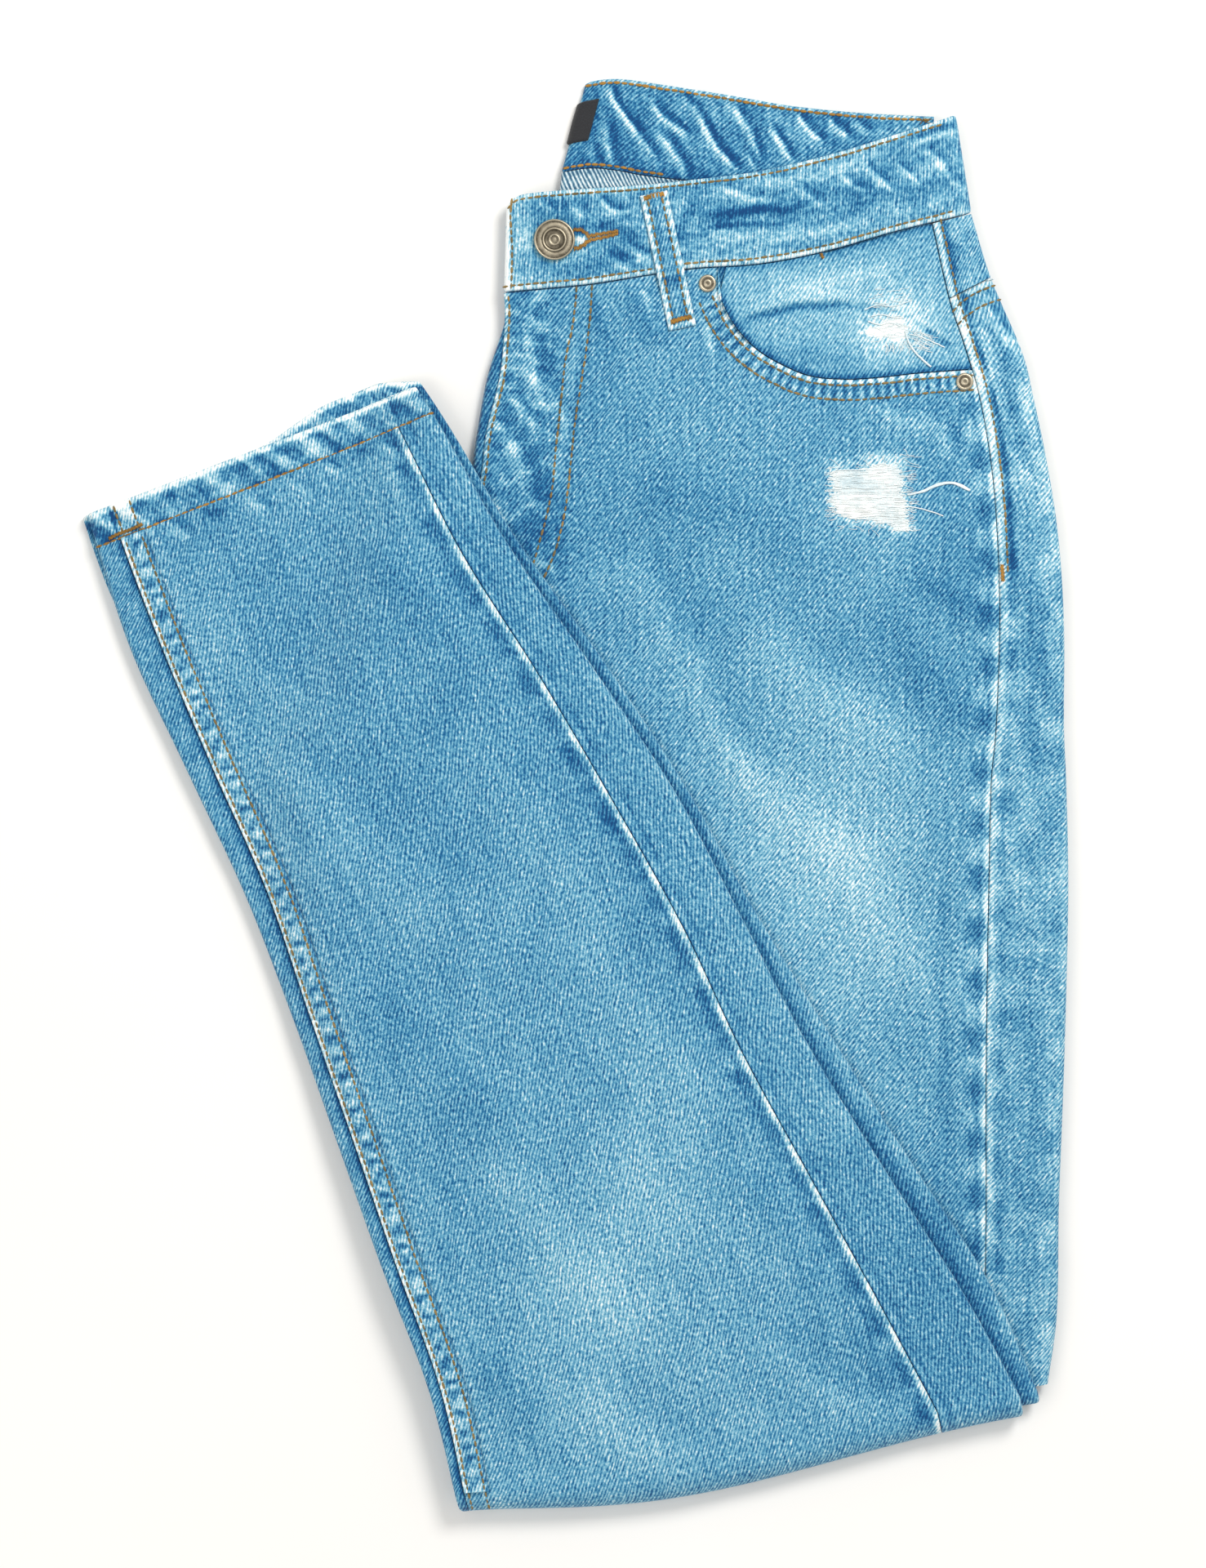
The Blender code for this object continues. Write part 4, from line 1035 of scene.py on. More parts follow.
denimBand = denim("denim_waistband", 84, tone=0.45, twill=0.8, bars=0.16, worn=0.36)
denimInside = denim("denim_band_inside", 45, tone=0.36, twill=0.9, bars=0.2, worn=0.3)
denimReverse = denim("denim_reverse", 128, tone=0.44, twill=2.4, speck=0.8, bars=0.1,
                     colours=reverse)
denimLoop = denim("denim_belt_loop", 64, tone=0.46, bars=0.14, worn=0.44)


def waistbandFront():
    # From the buttoned end to the side, where it folds round to the back
    piece = {"step": 1.0, "depthStep": 0.85}
    top, low = cloth["bandTop"], cloth["bandLipLow"]
    radius, middle = (top - low) / 2, (top + low) / 2
    curve = alongTable(frontBand, ("lowX", "lowY"), dense)
    steps = runAlong(curve)
    u = np.interp(sideSteps(steps[-1], piece["step"]) * steps[-1], steps, dense)
    lower = alongTable(frontBand, ("lowX", "lowY"), u)
    upper = alongTable(frontBand, ("highX", "highY"), u)
    grid = []
    v = sideSteps(depths["front"], piece["depthStep"])
    for depth in v:
        edge = upper * (1 - depth) + lower * depth
        direction = unit(edge[-1] - edge[-8])
        flat = np.concatenate((edge, np.full((len(edge), 1), top)), axis=1)
        turn = arc((-radius, middle), radius, 90, -90, 13)[1:]
        turn = np.concatenate((edge[-1] + direction * turn[:, :1], turn[:, 1:]), axis=1)
        keep = ((edge - edge[-1]) @ direction) < -radius - 0.2
        back = (*(edge[-1] - direction * cloth["lipReach"]), low)
        stretch = resample(flat[keep], np.linspace(0, 1, len(edge)))
        grid.append(np.concatenate((stretch, turn, [back])))
    grid = np.array(grid)
    across = runAcross(grid)
    uv = np.stack((across, np.broadcast_to(-depths["front"] * v[:, None], across.shape)),
                  axis=-1)
    x, y = grid[..., 0], grid[..., 1]
    rise, pale = creaseField(x, y, frontBandCreases)
    depth = -uv[..., 1]
    run = uv[..., 0]
    lift = rise + 0.25 * softNoise(x, y, 14, 71)
    for line, seed in ((2.0, 72), (35.0, 73)):
        wave = wavy(run, "stitch", 2 * softNoise(run, depth, 8, seed))
        near = bell(depth, line, 1.8)
        lift += 0.10 * wave * near - 0.28 * bell(depth, line, 0.8)
        pale = pale + 0.06 * wave * near
    smear = 1.5 * softNoise(run / 3.2, depth, 2.6, 74) + 0.6 * softNoise(run / 2.6, depth, 1.3, 75)
    pale = pale + 0.075 * smear + fadeField(x, y)
    edge = np.minimum(np.minimum(depth, depths["front"] - depth), run)
    pale += 0.34 * bell(run, 0, 3.0) + 0.10 * bell(run, 6, 5)
    wearAndShade = puckered(pale, edge, run, "stitch", 0.35)
    return addCloth("waistband_front", grid, uv, cloth["band"], denimBand,
                    lift=lift * topFacing(grid), rim=edge, wearAndShade=wearAndShade)


def bandLift(x, y):
    # The back band comes down to the table above the front band's upper edge
    edge = np.interp(x, frontBand["highX"], frontBand["highY"])
    return backSizes["lift"] * (1 - softStep((y - edge) / backSizes["lean"]))


def bandLine(table, depth, first=0.0, last=1.0, count=200):
    shares = np.linspace(first, last, count)
    lower = alongTable(table, ("lowX", "lowY"), shares)
    upper = alongTable(table, ("highX", "highY"), shares)
    return upper * (1 - depth) + lower * depth


def backEdge(depth):
    return bandLine(backBand, depth, count=150)


def foldTurn(edge, radius, start, count=14):
    middle = backSizes["height"] / 2
    direction = unit(edge[3] - edge[0])
    turn = arc((middle, middle), radius, start, 90, count)
    place = edge[0] + direction * turn[:, :1]
    return np.stack((place[:, 0], place[:, 1],
                     turn[:, 1] + bandLift(place[:, 0], place[:, 1])), axis=1)


def foldedRow(edge):
    # The lower layer's end, round the fold at centre back, and along the upper layer
    direction = unit(edge[3] - edge[0])
    flat = edge[((edge - edge[0]) @ direction) > backSizes["height"] / 2 + 0.1]
    flat = resample(flat, np.linspace(0, 1, len(edge)))
    lift = bandLift(flat[:, 0], flat[:, 1])
    under = np.stack((flat[:, 0], flat[:, 1], lift), axis=1)[::-1]
    upper = np.stack((flat[:, 0], flat[:, 1], lift + backSizes["height"]), axis=1)
    coarse = under[::6] if (len(under) - 1) % 6 else under[::6][:-1]
    return np.concatenate((coarse, foldTurn(edge, backSizes["height"] / 2, 270), upper))


def pathUv(grid, v):
    across = runAcross(grid)
    across = across - across[:, -1:]
    return np.stack((across, np.broadcast_to(v[:, None], across.shape)), axis=-1)


def backBandPieces():
    # Inside of the waistband at the back, folded at centre back
    shares = sideSteps(depths["back"], 0.85)
    grid = np.array([foldedRow(backEdge(share)) for share in shares])
    uv = pathUv(grid, -depths["back"] * shares)
    x, y = grid[..., 0], grid[..., 1]
    rise, pale = creaseField(x, y, backBandCreases)
    # Deepen the darker crease marks, among them the painted shade in the crease troughs.
    pale = 1.2 * pale - 0.2 * np.abs(pale) ** 0.5 * (pale < -0.04)
    depth = -uv[..., 1]
    run = uv[..., 0]
    shown = softStep((grid[..., 2] - bandLift(x, y) - 2.2) / 1.0)
    wave = wavy(run, "back", 2.4 * softNoise(run, depth, 11, 81))
    lift = 1.2 * rise + 0.25 * wave * bell(depth, 18, 14)
    lift += 0.25 * softNoise(x, y, 10, 82) - 0.3 * bell(depth, 2.4, 0.9)
    pale = pale + 0.10 * softNoise(run - 0.6 * depth, depth / 2.2, 5.5, 83)
    pale += 0.07 * softNoise(run - 0.6 * depth, depth / 2, 2.6, 84)
    pale += 0.06 * bell(depth, 8, 4) - 0.10 * bell(run, -146, 6)
    pale -= 0.16 * bell(depth, 37, 3)
    edge = np.minimum(depth, depths["back"] - depth)
    wearAndShade = puckered(pale, depth, run, "edge", 0.35)
    band = addCloth("waistband_back_inside", grid, uv, cloth["backBand"], denimInside,
                    lift=lift * shown, rim=edge, wearAndShade=wearAndShade)

    start = backEdge(1.0)
    start[:, 1] -= cloth["gap"] + 0.1
    end = start + (-2.0, 0.0)
    end[:, 1] = backSizes["yokeLow"]
    shares = sideSteps(depths["yoke"], 1.0)
    grid = np.array([foldedRow(start * (1 - share) + end * share) for share in shares])
    down = depths["yoke"] * shares
    uv = pathUv(grid, -down)
    x, y = grid[..., 0], grid[..., 1]
    # Painted shade just under the back band's edge; darker again towards its lower part.
    top = bell(down[:, None], 1.0, 1.6)
    low = softStep((down[:, None] - 8.0) / 6.0)
    pale = -0.18 * top - 0.12 * low + 0.06 * softNoise(x, y, 6, 85)
    yoke = addCloth("yoke_inside_panel", grid, uv, cloth["panel"], denimReverse,
                    wearAndShade={"pale": pale})
    return band, yoke


def wovenLabel():
    # Plain black woven label, sewn over the fold
    rise = cloth["gap"] + cloth["label"]
    grid = []
    shares = np.linspace(0.22, 0.68, 26)
    for depth in shares:
        edge = backEdge(depth)
        turn = foldTurn(edge, backSizes["height"] / 2 + rise, 200, 12)
        direction = unit(edge[3] - edge[0])
        runs = np.linspace(backSizes["height"] / 2, 8.0, 10)[1:, None]
        place = edge[0] + direction * runs
        flat = np.stack((place[:, 0], place[:, 1], backSizes["height"] + rise
                         + bandLift(place[:, 0], place[:, 1])), axis=1)
        grid.append(np.concatenate((turn, flat)))
    grid = np.array(grid)
    uv = pathUv(grid, -depths["back"] * shares)
    depth = (uv[..., 1].max() - uv[..., 1])
    edge = np.minimum(np.minimum(depth, depth.max() - depth), -uv[..., 0])
    lift = 0.18 * softNoise(grid[..., 0], grid[..., 1], 6, 91)
    return addCloth("woven_label_plain", grid, uv, cloth["label"], blackLabel(),
                    lift=lift, rim=edge)


loopSizes = {"width": 11.6, "thickness": 1.3, "top": (32.8, 251.7), "end": (44.9, 195.5)}


def beltLoop():
    # Lies on the waistband and steps down past its lower edge onto the front panel
    piece = loopSizes
    top, end = np.array(piece["top"]), np.array(piece["end"])
    length = np.linalg.norm(end - top)
    down = (end - top) / length
    side = np.array((-down[1], down[0])) * piece["width"] / 2
    high = cloth["bandTop"] + cloth["gap"] + piece["thickness"]
    low = cloth["panelTop"] + cloth["gap"] + piece["thickness"]
    v = sideSteps(length, 0.8, rim=1.2)
    u = sideSteps(piece["width"], 0.7, rim=1.1)
    run = v * length
    up = high + (low - high) * softStep((run - 35.0) / 7.0)
    middle = top + down * run[:, None]
    place = middle[:, None] + side * (2 * u[None, :, None] - 1)
    height = np.broadcast_to(up[:, None, None], place.shape[:2] + (1,))
    grid = np.concatenate((place, height), axis=2)
    across = np.broadcast_to(u[None] * piece["width"], place.shape[:2])
    along = np.broadcast_to(run[:, None], place.shape[:2])
    uv = np.stack((across, -along), axis=-1)
    edge = np.minimum(across, piece["width"] - across)
    ends = np.minimum(along, length - along)
    lift = -0.28 * bell(edge, 2.7, 0.7) + 0.25 * bell(edge, 5.8, 2.2)
    lift = lift - 0.3 * bell(along, 37.5, 1.2) + 0.15 * softNoise(across, along, 5, 95)
    wave = wavy(along, "loop", 2 * softNoise(across, along, 5, 96))
    pale = 0.10 * wave * bell(edge, 2.0, 2.0) + 0.08 * softNoise(across, along, 4, 97)
    # The ends are paler with wear; the darker band where the loop steps down off the waistband is
    # painted shade.
    pale += 0.10 * bell(ends, 0, 2.5) - 0.2 * bell(along, 38, 2.2)
    wearAndShade = puckered(pale, edge, along, "loop", 0.5)
    return addCloth("belt_loop_cloth", grid, uv, piece["thickness"], denimLoop, lift=lift,
                    rim=np.minimum(edge, ends), wearAndShade=wearAndShade)


# Folded legs: the right one on top, the left one below it

denimLeg = denim("denim_leg", 62, tone=0.435, worn=0.42)
denimLegBack = denim("denim_leg_back", 62, tone=0.42, worn=0.0)
denimHem = denim("denim_hem", 62, tone=0.465, bars=0.14, worn=0.50)
denimFell = denim("denim_inseam", 62, tone=0.52, bars=0.14, worn=0.26)
lowerLeg = {"base": 0.0, "height": 3.6, "radius": 5.2}
upperLeg = {"base": 4.1, "height": 3.8, "radius": 9.5}


def legValue(name, station):
    return smooth(leg["station"], leg[name], station)


def legWidth(station):
    return np.hypot(legValue("foldX", station) - legValue("leftX", station),
                    legValue("foldY", station) - legValue("leftY", station))


def legPlace(station, across):
    # Plan position from the station along the leg and millimetres in from its left edge
    station = np.broadcast_to(station, across.shape)
    width = legWidth(station)
    share = np.clip(across / width, 0, 1)
    turn = 1 - softStep(station / legSizes["hemReach"])
    station = station * (1 + legSizes["hemSlant"] * (0.45 - share) * turn)
    width = legWidth(station)
    bow = legSizes["kneeBow"] * station ** 12 * np.sin(math.pi * share ** 0.75) ** 2
    x = legValue("leftX", station)
    y = legValue("leftY", station)
    x = x + (legValue("foldX", station) - x) / width * across
    return x, y + (legValue("foldY", station) - y) / width * across - bow


def restHeight(x, y):
    # What the legs lie on: the body, coming down to the table outside its left edge
    edge = np.interp(-y, -body["leftY"], body["leftX"] - body["underOut"])
    out = (edge - x - legSizes["leanStart"]) / legSizes["leanLength"]
    return legSizes["base"] * (1 - softStep(out))


def hemPeek(stations, x, y, across):
    # The left leg's hem shows past the right one's, most of all near the outseam
    share = across / legWidth(stations)[:, None]
    amount = softStep((share - 0.48) / 0.3) * (1 - 0.75 * softStep((share - 0.9) / 0.13))
    amount = amount * legSizes["hemPeek"] * (1 - softStep(stations / 0.1))[:, None]
    return x - 0.5 * amount, y + 0.86 * amount


def legGrid(stations, turns, across, up, size):
    # Flat before the fold; at the fold the section turns round the knee
    middle = (legSizes["base"] + lowerLeg["height"] + cloth["legGap"] + upperLeg["height"]) / 2
    turned = ~np.isnan(turns)
    turn = np.where(turned, turns, 0.0)[:, None]
    inset = size["height"] - up
    reach = legSizes["kneeReach"] - (size["radius"] - inset) * np.sin(turn)
    station = np.where(turned[:, None], 1 - reach / legSizes["length"], stations[:, None])
    x, y = legPlace(station, across)
    if size is lowerLeg:
        x, y = hemPeek(stations, x, y, across)
    rise = legSizes["base"] + size["base"] + size["height"] - middle
    flat = restHeight(x, y) + size["base"] + up
    z = np.where(turned[:, None], middle + (rise - inset) * np.cos(turn), flat)
    return np.stack((x, y, z), axis=-1)


def legRows(first, step):
    last = 1 - legSizes["kneeReach"] / legSizes["length"]
    flat = first + edgeSteps((last - first) * legSizes["length"], step) * (last - first)
    turns = np.linspace(0, math.pi, 14)[1:]
    stations = np.concatenate((flat, np.full(13, last)))
    return stations, np.concatenate((np.full(len(flat), np.nan), turns))


def sectionPath(pieces):
    # Columns of a leg's section, row by row, from (across, up) pieces
    across = np.concatenate([piece[0] for piece in pieces], axis=1)
    up = np.concatenate([np.broadcast_to(piece[1], piece[0].shape) for piece in pieces], axis=1)
    return across, up


def between(start, end, shares):
    return start[:, None] + (end - start)[:, None] * np.asarray(shares)[None]


def rounded(edge, sign, height, first, last, count):
    angles = np.radians(np.linspace(first, last, count))[None]
    across = edge[:, None] + sign * (-height / 2 + height / 2 * np.abs(np.cos(angles)))
    return across, height / 2 + height / 2 * np.sin(angles)


def legUv(grid, stations):
    across = runAcross(grid)
    along = -runAlong(grid.mean(axis=1)) - stations[0] * legSizes["length"]
    return np.stack((across, np.broadcast_to(along[:, None], across.shape)), axis=-1)


def legFront(stations, turns):
    # Front panel between the flat-felled inseam and the outseam
    inner = legValue("inseamIn", stations) + cloth["gap"]
    outer = legWidth(stations) - legValue("outseamIn", stations) - cloth["gap"]
    shares = edgeSteps(120.0, 1.9)
    across, up = sectionPath([(between(inner, outer, shares), upperLeg["height"])])
    grid = legGrid(stations, turns, across, up, upperLeg)
    uv = legUv(grid, stations)
    x, y = grid[..., 0], grid[..., 1]
    run = -uv[..., 1]
    rise, pale = creaseField(x, y, legCreases)
    left = across - inner[:, None]
    right = outer[:, None] - across
    soft = 0.5 * softNoise(x, y, 40, 101) + 0.25 * softNoise(x, y, 17, 102)
    wave = wavy(run, "outseam", 2 * softNoise(x, y, 13, 103))
    ridge = bell(right, 0, 1.6)
    beside = bell(right, 5.0, 3.0)
    lift = rise + soft + 0.25 * ridge - 0.3 * beside * (1 + 0.5 * wave)
    spots = bell(wave, 1, 0.7) * bell(right, 6.0, 3.6)
    pale = pale + fadeField(x, y) + 0.05 * ridge - 0.05 * beside - 0.24 * spots
    pale += 0.01 + 0.02 * softNoise(x, y, 6, 108)
    fell = bell(left, 12.0, 1.8)
    pale += fell * 0.16 * wavy(run, "stitch", 1.8 * softNoise(x, y, 12, 104))
    pale += 0.06 * bell(left, 13.0, 2.5)
    wearAndShade = puckered(pale, right, run, "outseam", 0.7)
    return addCloth("right_leg_front_panel", grid, uv, cloth["panel"], denimLeg,
                    lift=lift * topFacing(grid), wearAndShade=wearAndShade)


def legBack(stations, turns):
    # Back panel, from the outseam round the right fold, below, and round the left edge
    width = legWidth(stations)
    outer = width - legValue("outseamIn", stations)
    inner = legValue("inseamIn", stations)
    fine = [0.0, 0.25, 0.7, 1.2, 1.8, 2.5]
    shares = np.concatenate((np.array(fine) / 26.0, np.linspace(3.4 / 26, 1, 15)))
    high = upperLeg["height"]
    across, up = sectionPath([
        (between(outer, width - high / 2, shares[:-1]), high),
        rounded(width, 1, high, 90, -90, 12),
        (between(width - 8.0, 8.0 + 0 * width, np.linspace(0, 1, 26)), 0.0),
        rounded(0 * width, -1, high, -90, -270, 12),
        (between(0 * width + high / 2, inner, np.linspace(0, 1, 9)[1:]), high),
    ])
    grid = legGrid(stations, turns, across, up, upperLeg)
    uv = legUv(grid, stations)
    x, y = grid[..., 0], grid[..., 1]
    run = -uv[..., 1]
    first = uv[..., 0]
    last = uv[..., -1:, 0] - uv[..., 0]
    wave = wavy(run, "outseam", 2 * softNoise(x, y, 13, 103))
    ridge = bell(first, 1.5, 1.4)
    groove = bell(first, 4.4, 1.5)
    fold = bell(np.abs(across - width[:, None]), 0, 4.0)
    lift = 0.3 * ridge - 0.3 * groove * (1 + 0.4 * wave) + 0.3 * softNoise(x, y, 16, 105)
    pale = fadeField(x, y) + ridge * (0.03 + 0.05 * wave) - groove * (0.07 + 0.04 * wave)
    pale -= 0.3 * bell(first, 0, 0.5)
    pale += 0.10 * softNoise(x, y, 8, 106) * fold + 0.03 * fold
    pale += 0.12 * bell(last, 0, 2.0) * softNoise(run, x * 0, 7, 107)
    # Painted shade on the back panel's edge beside the felled seam, which stands above it.
    pale -= 0.30 * bell(last, 0.4, 1.1)
    pale += 0.05 - 0.05 * softStep((up - 0.4) / 3.0)
    edge = np.minimum(first, last + 1.0)
    wearAndShade = puckered(pale, edge, run, "outseam", 0.2)
    return addCloth("right_leg_back_panel", grid, uv, cloth["panel"], denimLegBack,
                    lift=lift * topFacing(grid), wearAndShade=wearAndShade)


def inseamFell(stations):
    # Flat-felled seam, puckered between its two rows of stitches
    turns = np.full(len(stations), np.nan)
    inner = legValue("inseamIn", stations) + cloth["gap"]
    shares = edgeSteps(legSizes["fellWidth"], 0.75, rim=1.1)
    across, up = sectionPath([(between(inner, inner + legSizes["fellWidth"], shares), 5.1)])
    grid = legGrid(stations, turns, across, up, upperLeg)
    uv = legUv(grid, stations)
    run = -uv[..., 1]
    left = across - inner[:, None]
    right = legSizes["fellWidth"] - left
    wander = 1.6 * softNoise(run, left, 9, 111)
    wave = wavy(run, "inseam", 1.6 * wander + 0.25 * left)
    cells = bell(wave, -1, 0.8)
    middle = np.exp(-((left - 5.4) / 2.4) ** 4)
    lift = 0.32 * wave * middle + 0.12 * middle
    for line in (seamRows["nearFell"], seamRows["farFell"]):
        lift -= 0.30 * bell(left, line, 0.7)
    pale = middle * (0.20 - 0.50 * cells) + 0.10 * softNoise(run, left, 5, 112)
    pale += 0.16 * bell(left, 1.0, 1.2) - 0.20 * bell(right, 0.2, 0.7)
    edge = np.minimum(left, right)
    wearAndShade = puckered(pale, left, run, "stitch", 0.55)
    return addCloth("right_inseam_felled", grid, uv, legSizes["fellCloth"], denimFell,
                    lift=lift, rim=np.minimum(edge, 9.0), wearAndShade=wearAndShade)


def ringPath(left, right, height, shares):
    return sectionPath([
        (between(left + height / 2, right - height / 2, shares), height),
        tuple(part[:, 1:-1] for part in rounded(right, 1, height, 90, -90, 14)),
        (between(right - height / 2, left + height / 2, np.linspace(0, 1, 24)), 0.0),
        tuple(part[:, 1:-1] for part in rounded(left, -1, height, -90, -270, 14)),
    ])


def lowerSides(stations):
    # The left leg shows past the right one at the hem's corner and down the right
    show = 2.6 * (1 - softStep(stations / 0.12))
    hide = 2.0 * softStep((stations - 0.05) / 0.1)
    return hide - show, legWidth(stations) + legValue("lowerOut", stations)


def leftLeg(stations, turns):
    left, right = lowerSides(stations)
    shares = np.concatenate((np.linspace(0, 0.7, 30)[:-1], np.linspace(0.7, 1, 44)))
    across, up = ringPath(left, right, lowerLeg["height"], shares)
    grid = legGrid(stations, turns, across, up, lowerLeg)
    uv = legUv(grid, stations)
    x, y = grid[..., 0], grid[..., 1]
    gap = across - legWidth(stations)[:, None]
    shade = (-0.01 - 0.20 * bell(gap, 0, 4.5)) * topFacing(grid, True)
    fold = bell(right[:, None] - across, 0, 3.0)
    pale = fadeField(x, y) + shade + fold * (0.06 + 0.12 * softNoise(x, y, 9, 121))
    lift = 0.25 * softNoise(x, y, 14, 122) * softStep(gap / 3.0 + 0.3)
    return addCloth("left_leg_folded_cloth", grid, uv, cloth["panel"], denimLegBack,
                    ring=True, lift=lift * topFacing(grid, True), wearAndShade={"pale": pale})


def hem(name, left, right, size, thickness, seed):
    # Turned hem: puckered in slanting ridges between its edge and its stitches
    depth = legSizes["hemDepth"]
    stations = edgeSteps(depth, 0.85) * depth / legSizes["length"]
    turns = np.full(len(stations), np.nan)
    shares = np.linspace(0, 1, 130)
    width = legWidth(stations)
    across, up = ringPath(left(stations), right(stations), size["height"], shares)
    grid = legGrid(stations, turns, across, up, size)
    uv = legUv(grid, stations)
    x, y = grid[..., 0], grid[..., 1]
    down = (stations * legSizes["length"])[:, None]
    run = across - 0.8 * down
    wander = 2.2 * softNoise(run, down * 0.5, 16, seed)
    wave = wavy(run, "hem", wander)
    sharp = bell(wave, 1, 0.55)
    inside = bell(down, 5.6, 5.4)
    strong = 0.55 + 0.45 * softNoise(run, down * 0.0, 31, seed + 3)
    lift = 0.85 * strong * wave * inside - 0.4 * bell(down, 12.4, 0.9)
    lift = lift + 0.2 * softNoise(x, y, 8, seed + 1)
    pale = strong * inside * (0.46 * sharp - 0.42 * bell(wave, -0.9, 0.6))
    pale = pale + 0.20 * softNoise(x, y, 7, seed + 2) + 0.14 * softNoise(x, y, 3, seed + 4)
    pale += 0.16 * bell(down, 1.0, 1.2)
    strip = across - legValue("inseamIn", stations)[:, None]
    pale += 0.22 * np.exp(-((strip - 5.6) / 4.2) ** 4) - 0.5 * bell(strip, 0, 0.7)
    pale -= 0.16 * bell(strip, -3.5, 3.0)
    seam = across - (width - legValue("outseamIn", stations))[:, None]
    pale += 0.18 * bell(seam, -1.5, 3.0) - 0.3 * bell(seam, 1.4, 0.8)
    # Painted shade along the hem's inner edge, broken by its puckers.
    below = bell(down, 12.6, 1.4)
    pale = pale - 0.20 * below * (0.7 - wave)
    edge = np.broadcast_to(down, x.shape)
    wearAndShade = puckered(pale, edge, run, "edge", 0.4)
    top = topFacing(grid, True)
    return addCloth(name, grid, uv, thickness, denimHem, ring=True, lift=lift * top,
                    rim=edge, wearAndShade=wearAndShade)


# Metal and the rest of the scene


def turned(name, middle, base, profile, sides, finish):
    # A turned form from (radius, height) pairs, bottom middle to top middle
    points, faces = [], []
    for radius, height in profile[1:-1]:
        for k in range(sides):
            angle = 2 * math.pi * k / sides
            points.append((middle[0] + radius * math.cos(angle),
                           middle[1] + radius * math.sin(angle), base + height))
    rings = len(profile) - 2
    bottom = len(points)
    points += [(*middle, base + profile[0][1]), (*middle, base + profile[-1][1])]
    for k in range(sides):
        n = (k + 1) % sides
        faces.append((bottom, n, k))
        faces.append((bottom + 1, (rings - 1) * sides + k, (rings - 1) * sides + n))
        for ring in range(rings - 1):
            low, high = ring * sides, (ring + 1) * sides
            faces.append((low + k, low + n, high + n, high + k))
    return buildMesh(name, np.array(points), faces, finish)


nickel = agedMetal()
metal = {"button": (-8.5, 232.2), "upper": (55.3, 214.2), "side": (162.6, 173.2)}


def waistButton():
    # Domed shank button with plain raised rings
    base = cloth["bandTop"] + cloth["gap"]
    profile = ((0, 0), (7.0, 0), (7.9, 0.25), (8.4, 0.75), (8.6, 1.3), (8.58, 1.8), (8.42, 2.2),
               (8.15, 2.42), (7.9, 2.4), (7.74, 2.2), (7.55, 2.12), (6.9, 2.3), (6.2, 2.4),
               (5.5, 2.34), (5.25, 2.24), (5.1, 2.4), (4.95, 2.72), (4.75, 2.86), (4.5, 2.86),
               (4.3, 2.7), (4.16, 2.3), (4.0, 1.98), (3.3, 1.86), (2.6, 1.86), (2.35, 1.98),
               (2.15, 2.1), (1.9, 2.1), (1.7, 1.96), (1.2, 1.9), (0.6, 2.0), (0, 2.06))
    return turned("button_metal", metal["button"], base, profile, 72, nickel)


def rivet(name, middle):
    base = cloth["panelTop"] + cloth["gap"]
    profile = ((0, 0), (3.45, 0), (3.62, 0.15), (3.65, 0.4), (3.5, 0.72), (3.2, 0.9),
               (2.8, 0.92), (2.5, 0.8), (2.2, 0.66), (1.9, 0.7), (1.7, 0.95), (1.45, 1.16),
               (1.1, 1.2), (0.6, 1.1), (0, 1.05))
    return turned(name, middle, base, profile, 48, nickel)


# Sewing and loose yarn, with Geometry Nodes along lines laid on the cloth


class Growth:
    # A Geometry Nodes tree with named inputs, set before it is first evaluated
    def __init__(self, name, inputs):
        self.tree = bpy.data.node_groups.new(name, "GeometryNodeTree")
        face = self.tree.interface
        face.new_socket("Geometry", in_out="INPUT", socket_type="NodeSocketGeometry")
        for key, kind in inputs.items():
            face.new_socket(key, in_out="INPUT", socket_type="NodeSocket" + kind)
        face.new_socket("Geometry", in_out="OUTPUT", socket_type="NodeSocketGeometry")
        self.start = self.tree.nodes.new("NodeGroupInput").outputs
        self.end = self.tree.nodes.new("NodeGroupOutput").inputs["Geometry"]

    def node(self, kind, settings=None, inputs=None, output=0):
        made = self.tree.nodes.new(kind)
        for key, value in (settings or {}).items():
            setattr(made, key, value)
        for key, value in (inputs or {}).items():
            if isinstance(value, bpy.types.NodeSocket):
                self.tree.links.new(value, made.inputs[key])
            else:
                made.inputs[key].default_value = value
        return made.outputs[output]

    def close(self, geometry):
        real = self.node("GeometryNodeRealizeInstances", None, {0: geometry})
        done = self.node("GeometryNodeSetMaterial", None,
                         {"Geometry": real, "Material": self.start["Material"]})
        self.tree.links.new(done, self.end)


